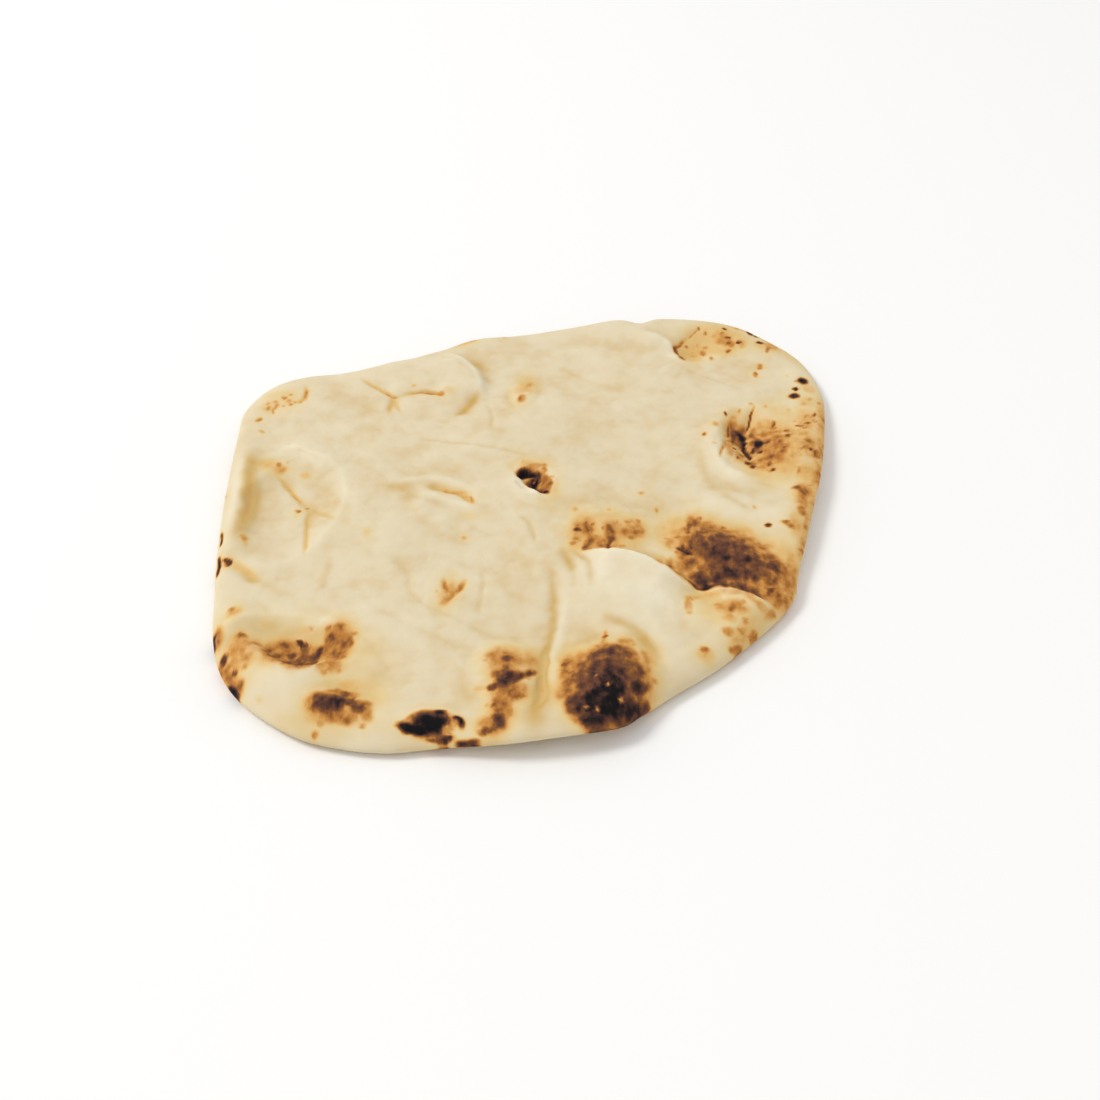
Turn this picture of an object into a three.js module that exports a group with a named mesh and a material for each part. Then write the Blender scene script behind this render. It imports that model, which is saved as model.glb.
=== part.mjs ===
// A hand-stretched leavened flatbread, about 235 mm long and 211 mm wide, puffed and blistered by baking.
// Millimetres, +Z up, +X across, +Y along. The origin is under the middle, at the level it lies on.
// Places below are drawn on the bread's own sheet, whose zero is within a few millimetres of that middle.
import * as THREE from 'three';

// Driving dimensions
const THICKNESS = 6.2; // plain dough between the blisters
const THINNEST = 2.6; // least dough left at the floor of a hollow
const EDGE_LEVEL = 2.6; // height of the rim's widest line above the table
const EDGE_SHARE = 0.085; // share of the radius over which the top rounds down to the rim
const UNDER_EDGE_SHARE = 0.03; // the same on the underside, which is pressed flatter

// The rim, counter-clockwise from the right: the dough was stretched broad at the back, narrower in front
const OUTLINE = [
  [98, -1], [101.5, 17], [104.5, 42], [106, 70], [101.2, 90], [93.8, 102.5], [83.6, 111], [75.5, 115.5],
  [64, 118], [46, 118], [37.5, 114.5], [28, 116], [9, 111.5], [-11, 107.5], [-26, 103.5], [-41, 93],
  [-55, 85], [-70, 76], [-89, 70.5], [-100, 62], [-105, 46], [-103, 28], [-100.5, 8], [-97.5, -14],
  [-92.5, -40], [-88.5, -57], [-84, -75], [-77.5, -90], [-67.5, -101.5], [-51, -112], [-37, -115.5],
  [-24, -116], [-12, -114], [12, -113], [37, -106], [45.2, -98], [52.5, -89.5], [65.5, -77.5],
  [75, -66.5], [83.5, -55.5], [89.5, -45], [91.5, -34], [94.5, -19],
];

// Long low waves of the stretched dough: wave length, heading in degrees, phase in radians and half height
const WAVES = [
  { length: 61, heading: 25, phase: 0.4, rise: 0.4 },
  { length: 43, heading: 110, phase: 2.0, rise: 0.3 },
  { length: 33, heading: 70, phase: 4.1, rise: 0.2 },
];

// Blisters and hollows with an oval foot: middle, half length and half width, turn in degrees from +X,
// and rise, negative for a hollow. A brim above 2 gives a flatter middle and a steeper edge.
const SWELLINGS = [
  { at: [-48, 66], size: [31, 22], turn: -25, rise: 2.4 }, // pillow at the back left
  { at: [-12, 30], size: [60, 40], turn: 10, rise: 0.9 }, // broad crown of the middle
  { at: [22, 72], size: [42, 30], turn: 15, rise: 0.8 }, // broad crown of the back
  { at: [-4, 60], size: [6, 10], turn: 0, rise: 0.9 }, // small tan bump behind the middle
  { at: [4, 7], size: [6, 8], turn: 30, rise: -3.2 }, // crater of the burst blister in the middle
  { at: [-75, -13], size: [18, 30], turn: -4, rise: -2.4, brim: 4 }, // collapsed blister at the left
  { at: [-58, -77], size: [20, 11], turn: -14, rise: -3.0 }, // pocket at the front left
  { at: [-56, -98], size: [21, 10], turn: -20, rise: 1.8 }, // lobe in front of the pocket
  { at: [-40, -103], size: [11, 7], turn: -5, rise: 1.4 }, // small charred bump at the front
  { at: [-13, -107], size: [11, 6], turn: 0, rise: 1.2 }, // burst charred bump at the front
  { at: [5, -89], size: [12, 19], turn: 8, rise: 2.4 }, // browned blister at the front
  { at: [35, -87], size: [17, 19], turn: 0, rise: 4.4 }, // big charred blister at the front
  { at: [40, -53], size: [27, 19], turn: -35, rise: 2.4 }, // pale bulge behind it
  { at: [70, -59], size: [18, 14], turn: -40, rise: 2.0 }, // lobe at the right front
  { at: [71, -30], size: [27, 13], turn: -42, rise: 2.8 }, // charred roll at the right
  { at: [30, -14], size: [19, 13], turn: 0, rise: 1.4 }, // browned swelling left of the roll
  { at: [75, -6], size: [22, 13], turn: -12, rise: 1.6 }, // pale bulge behind the roll
  { at: [78.5, 38.5], size: [12, 22], turn: 5, rise: -2.2 }, // dimple at the right
  { at: [92, 32], size: [12, 18], turn: 0, rise: 1.6 }, // lobe between the dimple and the rim
  { at: [59, 101], size: [10, 15], turn: -25, rise: -1.6 }, // sunk patch at the back right
  { at: [79, 98], size: [16, 12], turn: -35, rise: 1.4 }, // lobe right of the sunk patch
];

// Ridges and creases along a line: rise at the line, negative for a crease, and how far it spreads to the
// left and to the right of the line's heading. Unlike spreads make a lip with one steep wall.
const FOLDS = [
  // pillow's lip
  {
    path: [[-41, 90], [-31.5, 82.5], [-24.5, 73.5], [-20.5, 63], [-19.5, 53]],
    rise: 2.2, left: 2.4, right: 14,
  },
  // crease across the pillow
  { path: [[-66, 68], [-57, 60], [-51.5, 56], [-42, 58.5], [-32, 57]], rise: -0.6, left: 3, right: 3 },
  // short branch of that crease
  { path: [[-51.5, 57], [-51, 51], [-48, 47]], rise: -0.4, left: 2.6, right: 2.6 },
  // valley that runs on from the pillow's lip
  { path: [[-20, 60], [-24, 51], [-26, 44]], rise: -0.5, left: 3, right: 3 },
  // roll of the left rim beside the collapsed blister
  { path: [[-97, 24], [-95, 5], [-91.5, -12], [-88, -28], [-83, -37]], rise: 2.1, left: 4.2, right: 7 },
  // back lip of the collapsed blister
  { path: [[-88, 21], [-78, 20], [-71, 14], [-66, 7]], rise: 1, left: 7, right: 2.8 },
  // right lip of the collapsed blister
  { path: [[-60, 4], [-54, -7], [-51, -16], [-52, -27]], rise: 0.7, left: 8, right: 3.4 },
  // wrinkle on its floor
  {
    path: [[-86, 12], [-77, 0.5], [-68.5, -11], [-66.5, -21], [-64.5, -37]],
    rise: -0.4, left: 2.6, right: 2.6,
  },
  // crease from the left rim
  { path: [[-92, -41], [-87, -43], [-80, -48], [-74, -53]], rise: -1, left: 2.4, right: 2.4 },
  // front lip of the pocket
  {
    path: [[-77, -76], [-70, -81], [-63, -87], [-56, -90], [-49, -87.5], [-43, -78]],
    rise: 2.3, left: 2.2, right: 8,
  },
  // ridge round the pocket
  { path: [[-82, -86], [-81, -77], [-78, -70], [-70, -65]], rise: 1.2, left: 2.4, right: 2.8 },
  // crease inside that ridge
  { path: [[-76, -75], [-78.5, -83], [-76.5, -91], [-71, -98]], rise: -1, left: 2.4, right: 2.4 },
  // slit in the middle
  { path: [[-32, 3.5], [-27, 1.5], [-20, 0], [-14, -4.5]], rise: -0.7, left: 2.4, right: 2.4 },
  // lip below the slit
  { path: [[-37, -5], [-31, -11], [-25, -15.5], [-17, -17]], rise: 0.8, left: 5, right: 3 },
  // valley between the two front blisters
  {
    path: [[13, -28], [15.3, -45.5], [16.9, -62], [16.2, -76], [15.7, -86], [16.4, -96], [15, -106]],
    rise: -0.5, left: 3, right: 3,
  },
  // crease on the pale bulge
  { path: [[16.5, -27.5], [18.4, -31.5], [20.6, -37], [22, -44]], rise: -0.4, left: 2.6, right: 2.6 },
  // valley behind the big blister
  { path: [[28, -58.5], [36, -63], [43, -68], [47.2, -75.5], [49, -86]], rise: -0.7, left: 3, right: 3 },
  // back lip of the pale bulge
  { path: [[19, -31], [31, -32.2], [41, -34], [52, -40.6], [64, -48]], rise: 3.2, left: 2.2, right: 11 },
  // back lip of the right front lobe
  { path: [[60.5, -49.5], [66, -46], [72, -46.8], [80, -52], [86.5, -58]], rise: 2.6, left: 2.2, right: 9 },
  // crease down the dimple
  { path: [[80.5, 60], [77.5, 48], [75, 37], [76.5, 27], [78.5, 18]], rise: -1.2, left: 2.2, right: 2.4 },
  // crease left of the dimple
  { path: [[69.5, 54], [70, 44], [69.5, 33], [67, 25]], rise: -0.8, left: 2, right: 2 },
  // roll round the dimple
  { path: [[69, 59], [66, 45], [65, 31], [68, 19], [76, 12], [86, 9]], rise: 1.4, left: 3, right: 4 },
  // lip of the sunk patch at the back right
  {
    path: [[31, 107], [40, 103.5], [47.5, 99], [51, 93.5], [53.5, 88], [60, 86.5]],
    rise: 1.6, left: 2.4, right: 11,
  },
];

// Stretches of the rim that stand clear of the table, and shallow air pockets of the underside
const LIFTS = [
  { at: [26, -120], size: [44, 34], turn: 10, rise: 5.0 }, // front
  { at: [118, 0], size: [40, 80], turn: 0, rise: 4.5 }, // right
  { at: [40, 134], size: [80, 40], turn: 0, rise: 5.0 }, // back
  { at: [-112, 20], size: [22, 40], turn: 0, rise: 2.5 }, // left
];
const AIR_POCKETS = [
  { at: [-48, 64], size: [24, 17], turn: -25, rise: 1.6 },
  { at: [36, -84], size: [15, 16], turn: 0, rise: 1.8 },
  { at: [66, -34], size: [24, 13], turn: -42, rise: 1.6 },
  { at: [14, 66], size: [26, 18], turn: 15, rise: 1.2 },
  { at: [-62, -20], size: [16, 24], turn: 10, rise: 0.9 },
  { at: [-20, -70], size: [20, 17], turn: 0, rise: 1.2 },
];

// Fineness of the faceted skin
const TOP_RINGS = 34;
const UNDER_RINGS = 15;
const RIM_STEPS = 4; // rings on the rounding of the rim, above and again below its widest line
const RING_GROWTH = 6; // points that each ring has more than the last
const RIM_DIVISIONS = 40 * OUTLINE.length; // straight runs that measure the way round the rim
const FOLD_STEPS = 24; // straight runs along a fold
const FOLD_FADE = 0.3; // share of a fold's length over which each end dies out

const CRUST = new THREE.MeshStandardMaterial({ color: 0xe5d3ae, roughness: 0.7, metalness: 0 });

function smoothCurve(points, closed) {
  const knots = points.map(([x, y]) => new THREE.Vector3(x, y, 0));
  return new THREE.CatmullRomCurve3(knots, closed, 'catmullrom', 0.5);
}

const rim = smoothCurve(OUTLINE, true);
rim.arcLengthDivisions = RIM_DIVISIONS;
const foldLines = FOLDS.map(({ path, ...shape }) => {
  const line = smoothCurve(path, false).getPoints(FOLD_STEPS);
  return { ...shape, line };
});

function waves(x, y) {
  let height = 0;
  for (const { length, heading, phase, rise } of WAVES) {
    const angle = THREE.MathUtils.degToRad(heading);
    const along = x * Math.cos(angle) + y * Math.sin(angle);
    height += rise * Math.sin((2 * Math.PI * along) / length + phase);
  }
  return height;
}

// Sum of a list's swellings at a place: each is 0 from its foot outwards and meets it without a corner.
function swell(list, x, y) {
  let height = 0;
  for (const { at, size, turn, rise, brim = 2 } of list) {
    const angle = THREE.MathUtils.degToRad(turn);
    const along = (x - at[0]) * Math.cos(angle) + (y - at[1]) * Math.sin(angle);
    const across = (y - at[1]) * Math.cos(angle) - (x - at[0]) * Math.sin(angle);
    const reach = Math.hypot(along / size[0], across / size[1]);
    if (reach < 1) height += rise * (1 - reach ** brim) ** 1.5;
  }
  return height;
}

// Nearest place on a line: its distance, its side, +1 left of the heading, and its share of the way along.
function nearest(line, x, y) {
  let best = { gap: Infinity, side: 1, share: 0 };
  for (let i = 0; i + 1 < line.length; i += 1) {
    const runX = line[i + 1].x - line[i].x;
    const runY = line[i + 1].y - line[i].y;
    const toX = x - line[i].x;
    const toY = y - line[i].y;
    const t = THREE.MathUtils.clamp((toX * runX + toY * runY) / (runX * runX + runY * runY), 0, 1);
    const gap = Math.hypot(toX - t * runX, toY - t * runY);
    const side = Math.sign(runX * toY - runY * toX);
    if (gap < best.gap) best = { gap, side, share: (i + t) / (line.length - 1) };
  }
  return best;
}

function fold(x, y) {
  let height = 0;
  for (const { line, rise, left, right } of foldLines) {
    const { gap, side, share } = nearest(line, x, y);
    const spread = side > 0 ? left : right;
    const ends = THREE.MathUtils.smoothstep(Math.min(share, 1 - share), 0, FOLD_FADE);
    height += rise * ends * Math.exp(-((gap / spread) ** 2));
  }
  return height;
}

// Quarter round of the rim: 0 at its widest line, 1 where it has run out into the flat.
function rimRound(inset, width) {
  const t = Math.min(inset / width, 1);
  return Math.sqrt(1 - (1 - t) ** 2);
}

function topLevel(x, y, share) {
  const crown = Math.max(THICKNESS + waves(x, y) + swell(SWELLINGS, x, y) + fold(x, y), THINNEST);
  return swell(LIFTS, x, y) + EDGE_LEVEL + (crown - EDGE_LEVEL) * rimRound(1 - share, EDGE_SHARE);
}

function underLevel(x, y, share) {
  const round = rimRound(1 - share, UNDER_EDGE_SHARE);
  return swell(LIFTS, x, y) + EDGE_LEVEL * (1 - round) + swell(AIR_POCKETS, x, y) * round;
}

// The skin is a run of rings, each a smaller copy of the outline: from the middle of the top, over the rim,
// to the middle of the underside. A ring has its share of the outline, its count of points and its level.
function skinRings() {
  const rings = [];
  for (let k = 0; k <= TOP_RINGS; k += 1) {
    const share = ((1 - EDGE_SHARE) * k) / TOP_RINGS;
    rings.push({ share, count: Math.max(1, RING_GROWTH * k), level: topLevel });
  }
  const rimCount = RING_GROWTH * TOP_RINGS;
  for (let k = 1; k <= RIM_STEPS; k += 1) {
    const inset = 1 - Math.sin((0.5 * Math.PI * k) / RIM_STEPS);
    rings.push({ share: 1 - EDGE_SHARE * inset, count: rimCount, level: topLevel });
  }
  for (let k = RIM_STEPS - 1; k > 0; k -= 1) {
    const inset = 1 - Math.sin((0.5 * Math.PI * k) / RIM_STEPS);
    rings.push({ share: 1 - UNDER_EDGE_SHARE * inset, count: rimCount, level: underLevel });
  }
  for (let k = UNDER_RINGS; k >= 0; k -= 1) {
    const share = ((1 - UNDER_EDGE_SHARE) * k) / UNDER_RINGS;
    rings.push({ share, count: Math.max(1, RING_GROWTH * k), level: underLevel });
  }
  return rings;
}

// Joins two neighbouring rings with triangles, always stepping on along the ring that lags behind.
function stitch(inner, outer, triangles) {
  let i = inner.length === 1 ? 1 : 0;
  let o = outer.length === 1 ? 1 : 0;
  while (i < inner.length || o < outer.length) {
    const a = inner[i % inner.length];
    const b = outer[o % outer.length];
    const outerLags = (o + 1) / outer.length <= (i + 1) / inner.length;
    if (o < outer.length && (i >= inner.length || outerLags)) {
      o += 1;
      triangles.push(a, b, outer[o % outer.length]);
    } else {
      i += 1;
      triangles.push(a, b, inner[i % inner.length]);
    }
  }
}

function breadGeometry() {
  const box = new THREE.Box3().setFromPoints(rim.getPoints(RIM_DIVISIONS));
  const middle = box.getCenter(new THREE.Vector3());
  const positions = [];
  const triangles = [];
  let lastRing = null;
  for (const { share, count, level } of skinRings()) {
    const ring = [];
    for (let j = 0; j < count; j += 1) {
      const edge = rim.getPointAt(j / count);
      const x = middle.x + share * (edge.x - middle.x);
      const y = middle.y + share * (edge.y - middle.y);
      ring.push(positions.length / 3);
      positions.push(x - middle.x, y - middle.y, level(x, y, share));
    }
    if (lastRing) stitch(lastRing, ring, triangles);
    lastRing = ring;
  }
  const geometry = new THREE.BufferGeometry();
  geometry.setAttribute('position', new THREE.Float32BufferAttribute(positions, 3));
  geometry.setIndex(triangles);
  geometry.computeVertexNormals();
  return geometry;
}

const bread = new THREE.Mesh(breadGeometry(), CRUST);
bread.name = 'naan';

const part = new THREE.Group();
part.add(bread);

export default part;
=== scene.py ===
# %% [markdown]
# # A naan, from its form to its crust
# A naan is one piece of leavened dough, stretched by hand and slapped on the hot clay wall of an oven,
# where it puffs, blisters and scorches within two minutes. It could be sculpted by hand or scanned. Here
# it is worked out from named sizes instead, so that every blister can be moved. Form, wrinkles and
# browning are drawn on one map, the bread's own sheet, in millimetres: X runs across, Y runs to the back,
# Z is up.

# %% The frame
from math import cos, pi, radians, sin

import bpy
import numpy as np
from mathutils import Matrix, Vector, noise
from mathutils.bvhtree import BVHTree


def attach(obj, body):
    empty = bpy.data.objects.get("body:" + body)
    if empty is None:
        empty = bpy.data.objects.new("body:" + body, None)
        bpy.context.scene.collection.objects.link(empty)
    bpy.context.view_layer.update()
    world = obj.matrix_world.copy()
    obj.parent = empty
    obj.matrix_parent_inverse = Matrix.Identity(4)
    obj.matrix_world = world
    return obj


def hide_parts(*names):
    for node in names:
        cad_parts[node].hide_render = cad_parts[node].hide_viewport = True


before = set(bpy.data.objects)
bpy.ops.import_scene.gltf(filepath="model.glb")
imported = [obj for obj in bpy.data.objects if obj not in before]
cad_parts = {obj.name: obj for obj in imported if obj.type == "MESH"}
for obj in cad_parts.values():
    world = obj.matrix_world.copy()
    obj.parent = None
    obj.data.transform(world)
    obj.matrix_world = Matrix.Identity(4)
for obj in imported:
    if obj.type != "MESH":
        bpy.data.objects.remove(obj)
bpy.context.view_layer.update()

MM = 0.001  # a millimetre in Blender's metres
print("nodes of the packed model:", sorted(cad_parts))

# %% [markdown]
# ## The outline
# The rim of a stretched dough is broad and uneven, with no straight run and no true arc. A closed smooth
# curve through a few points gives that, as a hand does when it pulls the dough here and there. Each ring
# of the skin is later a smaller copy of this curve, so the mesh follows the rim with no jagged edge.

# %% The outline
OUTLINE = [
    (98, -1), (101.5, 17), (104.5, 42), (106, 70), (101.2, 90), (93.8, 102.5), (83.6, 111),
    (75.5, 115.5), (64, 118), (46, 118), (37.5, 114.5), (28, 116), (9, 111.5), (-11, 107.5),
    (-26, 103.5), (-41, 93), (-55, 85), (-70, 76), (-89, 70.5), (-100, 62), (-105, 46), (-103, 28),
    (-100.5, 8), (-97.5, -14), (-92.5, -40), (-88.5, -57), (-84, -75), (-77.5, -90), (-67.5, -101.5),
    (-51, -112), (-37, -115.5), (-24, -116), (-12, -114), (12, -113), (37, -106), (45.2, -98),
    (52.5, -89.5), (65.5, -77.5), (75, -66.5), (83.5, -55.5), (89.5, -45), (91.5, -34), (94.5, -19),
]
RIM_DIVISIONS = 40 * len(OUTLINE)  # short runs that measure the way round the rim


def smooth_line(points, closed, steps):
    """Catmull-Rom curve through the points, as steps + 1 places."""
    knots = np.array(points, dtype=float)
    if closed:
        knots = np.vstack([knots[-1], knots, knots[:2]])
    else:
        knots = np.vstack([2 * knots[0] - knots[1], knots, 2 * knots[-1] - knots[-2]])
    spans = len(knots) - 3
    t = np.linspace(0, spans, steps + 1)
    first = np.minimum(t.astype(int), spans - 1)
    u = (t - first)[:, None]
    a, b, c, d = (knots[first + k] for k in range(4))
    return 0.5 * (2 * b + (c - a) * u + (2 * a - 5 * b + 4 * c - d) * u**2 + (3 * b - a - 3 * c + d) * u**3)


rim_line = smooth_line(OUTLINE, True, RIM_DIVISIONS)
rim_way = np.append(0, np.cumsum(np.hypot(*np.diff(rim_line, axis=0).T)))
middle = (rim_line.min(axis=0) + rim_line.max(axis=0)) / 2
print("rim: %.0f mm round, sheet's middle at %.2f, %.2f mm" % (rim_way[-1], *middle))

# %% [markdown]
# ## Blisters and hollows
# Steam lifts the dough into blisters, and some of them fall in again. Each is an oval swelling with a
# soft foot, so a list of ovals and one formula make them all. Sculpt brushes would give the same bumps,
# but no sizes. The list is the one that the solid was made from, so this skin lies on that solid.

# %% Blisters and hollows
THICKNESS = 6.2  # plain dough between the blisters
THINNEST = 2.6  # least dough left at the floor of a hollow
SOFT_FOOT = 1.5  # power that lets a swelling run out softly at its foot

# Wave length, heading in degrees, phase in radians, half height
WAVES = [(61, 25, 0.4, 0.4), (43, 110, 2.0, 0.3), (33, 70, 4.1, 0.2)]

# Middle x and y, half length, half width, turn in degrees and rise. A further value is the brim, where that
# isn't the usual 2: a higher one makes the floor flatter
SWELLINGS = [
    (-48, 66, 31, 22, -25, 2.4),  # pillow at the back left
    (-12, 30, 60, 40, 10, 0.9),  # broad crown of the middle
    (22, 72, 42, 30, 15, 0.8),  # broad crown of the back
    (-4, 60, 6, 10, 0, 0.9),  # small tan bump behind the middle
    (4, 7, 6, 8, 30, -3.2),  # crater of the burst blister in the middle
    (-75, -13, 18, 30, -4, -2.4, 4),  # collapsed blister at the left
    (-58, -77, 20, 11, -14, -3.0),  # pocket at the front left
    (-56, -98, 21, 10, -20, 1.8),  # lobe in front of the pocket
    (-40, -103, 11, 7, -5, 1.4),  # small charred bump at the front
    (-13, -107, 11, 6, 0, 1.2),  # burst charred bump at the front
    (5, -89, 12, 19, 8, 2.4),  # browned blister at the front
    (35, -87, 17, 19, 0, 4.4),  # big charred blister at the front
    (40, -53, 27, 19, -35, 2.4),  # pale bulge behind it
    (70, -59, 18, 14, -40, 2.0),  # lobe at the right front
    (71, -30, 27, 13, -42, 2.8),  # charred roll at the right
    (30, -14, 19, 13, 0, 1.4),  # browned swelling left of the roll
    (75, -6, 22, 13, -12, 1.6),  # pale bulge behind the roll
    (78.5, 38.5, 12, 22, 5, -2.2),  # dimple at the right
    (92, 32, 12, 18, 0, 1.6),  # lobe between the dimple and the rim
    (59, 101, 10, 15, -25, -1.6),  # sunk patch at the back right
    (79, 98, 16, 12, -35, 1.4),  # lobe right of the sunk patch
]


def waves(x, y):
    """Long low waves of the stretched dough."""
    height = np.zeros_like(x)
    for length, heading, phase, rise in WAVES:
        along = x * cos(radians(heading)) + y * sin(radians(heading))
        height += rise * np.sin(2 * pi * along / length + phase)
    return height


def oval_reach(x, y, at_x, at_y, half_length, half_width, turn=0):
    """Distance from an oval's middle, as a share of its half size: 1 on its edge."""
    way_x, way_y = cos(radians(turn)), sin(radians(turn))
    along = (x - at_x) * way_x + (y - at_y) * way_y
    across = (y - at_y) * way_x - (x - at_x) * way_y
    return np.hypot(along / half_length, across / half_width)


def swelling(x, y, at_x, at_y, half_length, half_width, turn, rise, brim=2):
    """Height of one swelling: 0 from its foot outwards."""
    reach = np.minimum(oval_reach(x, y, at_x, at_y, half_length, half_width, turn), 1)
    return rise * (1 - reach**brim) ** SOFT_FOOT


def swell(rows, x, y):
    """Sum of the swellings of a list."""
    return sum(swelling(x, y, *row) for row in rows)


print(len(SWELLINGS), "swellings, the highest", max(row[5] for row in SWELLINGS), "mm")

# %% [markdown]
# ## Lips, rolls and creases
# Where a blister sinks back, its skin is too large and folds over: a lip with one steep wall and one long
# slope. A line on the sheet, a rise, and a spread to each side describe any of them. A modelled edge loop
# would do the same for one fold, but a formula lets folds cross each other freely.

# %% Lips, rolls and creases
LINE_STEPS = 24  # straight runs along a fold
FOLD_FADE = 0.3  # share of a fold's length over which each end dies out
FOLD_REACH = 3.2  # spreads beyond which a fold is too low to matter

# Rise, spread to the left and to the right of the line's heading, and the line
FOLDS = [
    # pillow's lip
    (2.2, 2.4, 14, [(-41, 90), (-31.5, 82.5), (-24.5, 73.5), (-20.5, 63), (-19.5, 53)]),
    # crease across the pillow
    (-0.6, 3, 3, [(-66, 68), (-57, 60), (-51.5, 56), (-42, 58.5), (-32, 57)]),
    # its short branch
    (-0.4, 2.6, 2.6, [(-51.5, 57), (-51, 51), (-48, 47)]),
    # valley that runs on from the pillow's lip
    (-0.5, 3, 3, [(-20, 60), (-24, 51), (-26, 44)]),
    # roll of the left rim
    (2.1, 4.2, 7, [(-97, 24), (-95, 5), (-91.5, -12), (-88, -28), (-83, -37)]),
    # back lip of the collapsed blister
    (1, 7, 2.8, [(-88, 21), (-78, 20), (-71, 14), (-66, 7)]),
    # its right lip
    (0.7, 8, 3.4, [(-60, 4), (-54, -7), (-51, -16), (-52, -27)]),
    # wrinkle on its floor
    (-0.4, 2.6, 2.6, [(-86, 12), (-77, 0.5), (-68.5, -11), (-66.5, -21), (-64.5, -37)]),
    # crease from the left rim
    (-1, 2.4, 2.4, [(-92, -41), (-87, -43), (-80, -48), (-74, -53)]),
    # pocket's lip
    (2.3, 2.2, 8, [(-77, -76), (-70, -81), (-63, -87), (-56, -90), (-49, -87.5), (-43, -78)]),
    # ridge round the pocket
    (1.2, 2.4, 2.8, [(-82, -86), (-81, -77), (-78, -70), (-70, -65)]),
    # crease inside that ridge
    (-1, 2.4, 2.4, [(-76, -75), (-78.5, -83), (-76.5, -91), (-71, -98)]),
    # slit in the middle
    (-0.7, 2.4, 2.4, [(-32, 3.5), (-27, 1.5), (-20, 0), (-14, -4.5)]),
    # lip below the slit
    (0.8, 5, 3, [(-37, -5), (-31, -11), (-25, -15.5), (-17, -17)]),
    # valley between the two front blisters
    (-0.5, 3, 3, [
        (13, -28), (15.3, -45.5), (16.9, -62), (16.2, -76), (15.7, -86), (16.4, -96), (15, -106),
    ]),
    # crease on the pale bulge
    (-0.4, 2.6, 2.6, [(16.5, -27.5), (18.4, -31.5), (20.6, -37), (22, -44)]),
    # valley behind the big blister
    (-0.7, 3, 3, [(28, -58.5), (36, -63), (43, -68), (47.2, -75.5), (49, -86)]),
    # lip of the pale bulge
    (3.2, 2.2, 11, [(19, -31), (31, -32.2), (41, -34), (52, -40.6), (64, -48)]),
    # lip of the right front lobe
    (2.6, 2.2, 9, [(60.5, -49.5), (66, -46), (72, -46.8), (80, -52), (86.5, -58)]),
    # crease down the dimple
    (-1.2, 2.2, 2.4, [(80.5, 60), (77.5, 48), (75, 37), (76.5, 27), (78.5, 18)]),
    # crease left of the dimple
    (-0.8, 2, 2, [(69.5, 54), (70, 44), (69.5, 33), (67, 25)]),
    # roll round the dimple
    (1.4, 3, 4, [(69, 59), (66, 45), (65, 31), (68, 19), (76, 12), (86, 9)]),
    # lip at the back right
    (1.6, 2.4, 11, [(31, 107), (40, 103.5), (47.5, 99), (51, 93.5), (53.5, 88), (60, 86.5)]),
]


def ease(t):
    """0 below 0, 1 above 1, and a smooth step between."""
    t = np.clip(t, 0, 1)
    return t * t * (3 - 2 * t)


def beside(path, x, y, reach):
    """Places within reach of a line: their index, gap, side (+1 is its left) and share of the way."""
    line = smooth_line(path, False, LINE_STEPS)
    low, high = line.min(axis=0) - reach, line.max(axis=0) + reach
    near = np.flatnonzero((x > low[0]) & (x < high[0]) & (y > low[1]) & (y < high[1]))
    gap, side, share = np.full(len(near), np.inf), np.ones(len(near)), np.zeros(len(near))
    for step, (start, end) in enumerate(zip(line, line[1:])):
        run = end - start
        to_x, to_y = x[near] - start[0], y[near] - start[1]
        t = np.clip((to_x * run[0] + to_y * run[1]) / (run @ run), 0, 1)
        distance = np.hypot(to_x - t * run[0], to_y - t * run[1])
        closer = distance < gap
        gap[closer] = distance[closer]
        side[closer] = np.sign(run[0] * to_y - run[1] * to_x)[closer]
        share[closer] = ((step + t) / LINE_STEPS)[closer]
    return near, gap, side, share


def stroke(path, x, y, strength, left, right):
    """Places near a line, and its stroke there: full strength on it, fading beside it and at its ends."""
    near, gap, side, share = beside(path, x, y, FOLD_REACH * max(left, right))
    ends = ease(np.minimum(share, 1 - share) / FOLD_FADE)
    return near, strength * ends * np.exp(-((gap / np.where(side > 0, left, right)) ** 2))


def fold(rows, x, y):
    """Sum of the folds of a list."""
    height = np.zeros_like(x)
    for rise, left, right, path in rows:
        near, heights = stroke(path, x, y, rise, left, right)
        height[near] += heights
    return height


print(len(FOLDS), "folds, the highest lip", max(row[0] for row in FOLDS), "mm")

# %% [markdown]
# ## How it lies
# A baked flatbread isn't flat below: parts of its rim stand clear of the table, and steam leaves shallow
# air pockets. The same ovals describe both. They also decide where the underside was pressed to the hot
# wall, which matters for its browning later.

# %% How it lies
EDGE_LEVEL = 2.6  # height of the rim's widest line above the table
EDGE_SHARE = 0.085  # share of the radius over which the top rounds down to the rim
UNDER_EDGE_SHARE = 0.03  # the same on the underside

LIFTS = [
    (26, -120, 44, 34, 10, 5.0),  # front
    (118, 0, 40, 80, 0, 4.5),  # right
    (40, 134, 80, 40, 0, 5.0),  # back
    (-112, 20, 22, 40, 0, 2.5),  # left
]
AIR_POCKETS = [
    (-48, 64, 24, 17, -25, 1.6),
    (36, -84, 15, 16, 0, 1.8),
    (66, -34, 24, 13, -42, 1.6),
    (14, 66, 26, 18, 15, 1.2),
    (-62, -20, 16, 24, 10, 0.9),
    (-20, -70, 20, 17, 0, 1.2),
]


def rim_round(inset, width):
    """Quarter round of the rim: 0 at its widest line, 1 where it has run out into the flat."""
    t = np.minimum(inset / width, 1)
    return np.sqrt(1 - (1 - t) ** 2)


print(len(LIFTS), "stretches of rim stand clear,", len(AIR_POCKETS), "air pockets below")

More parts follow.
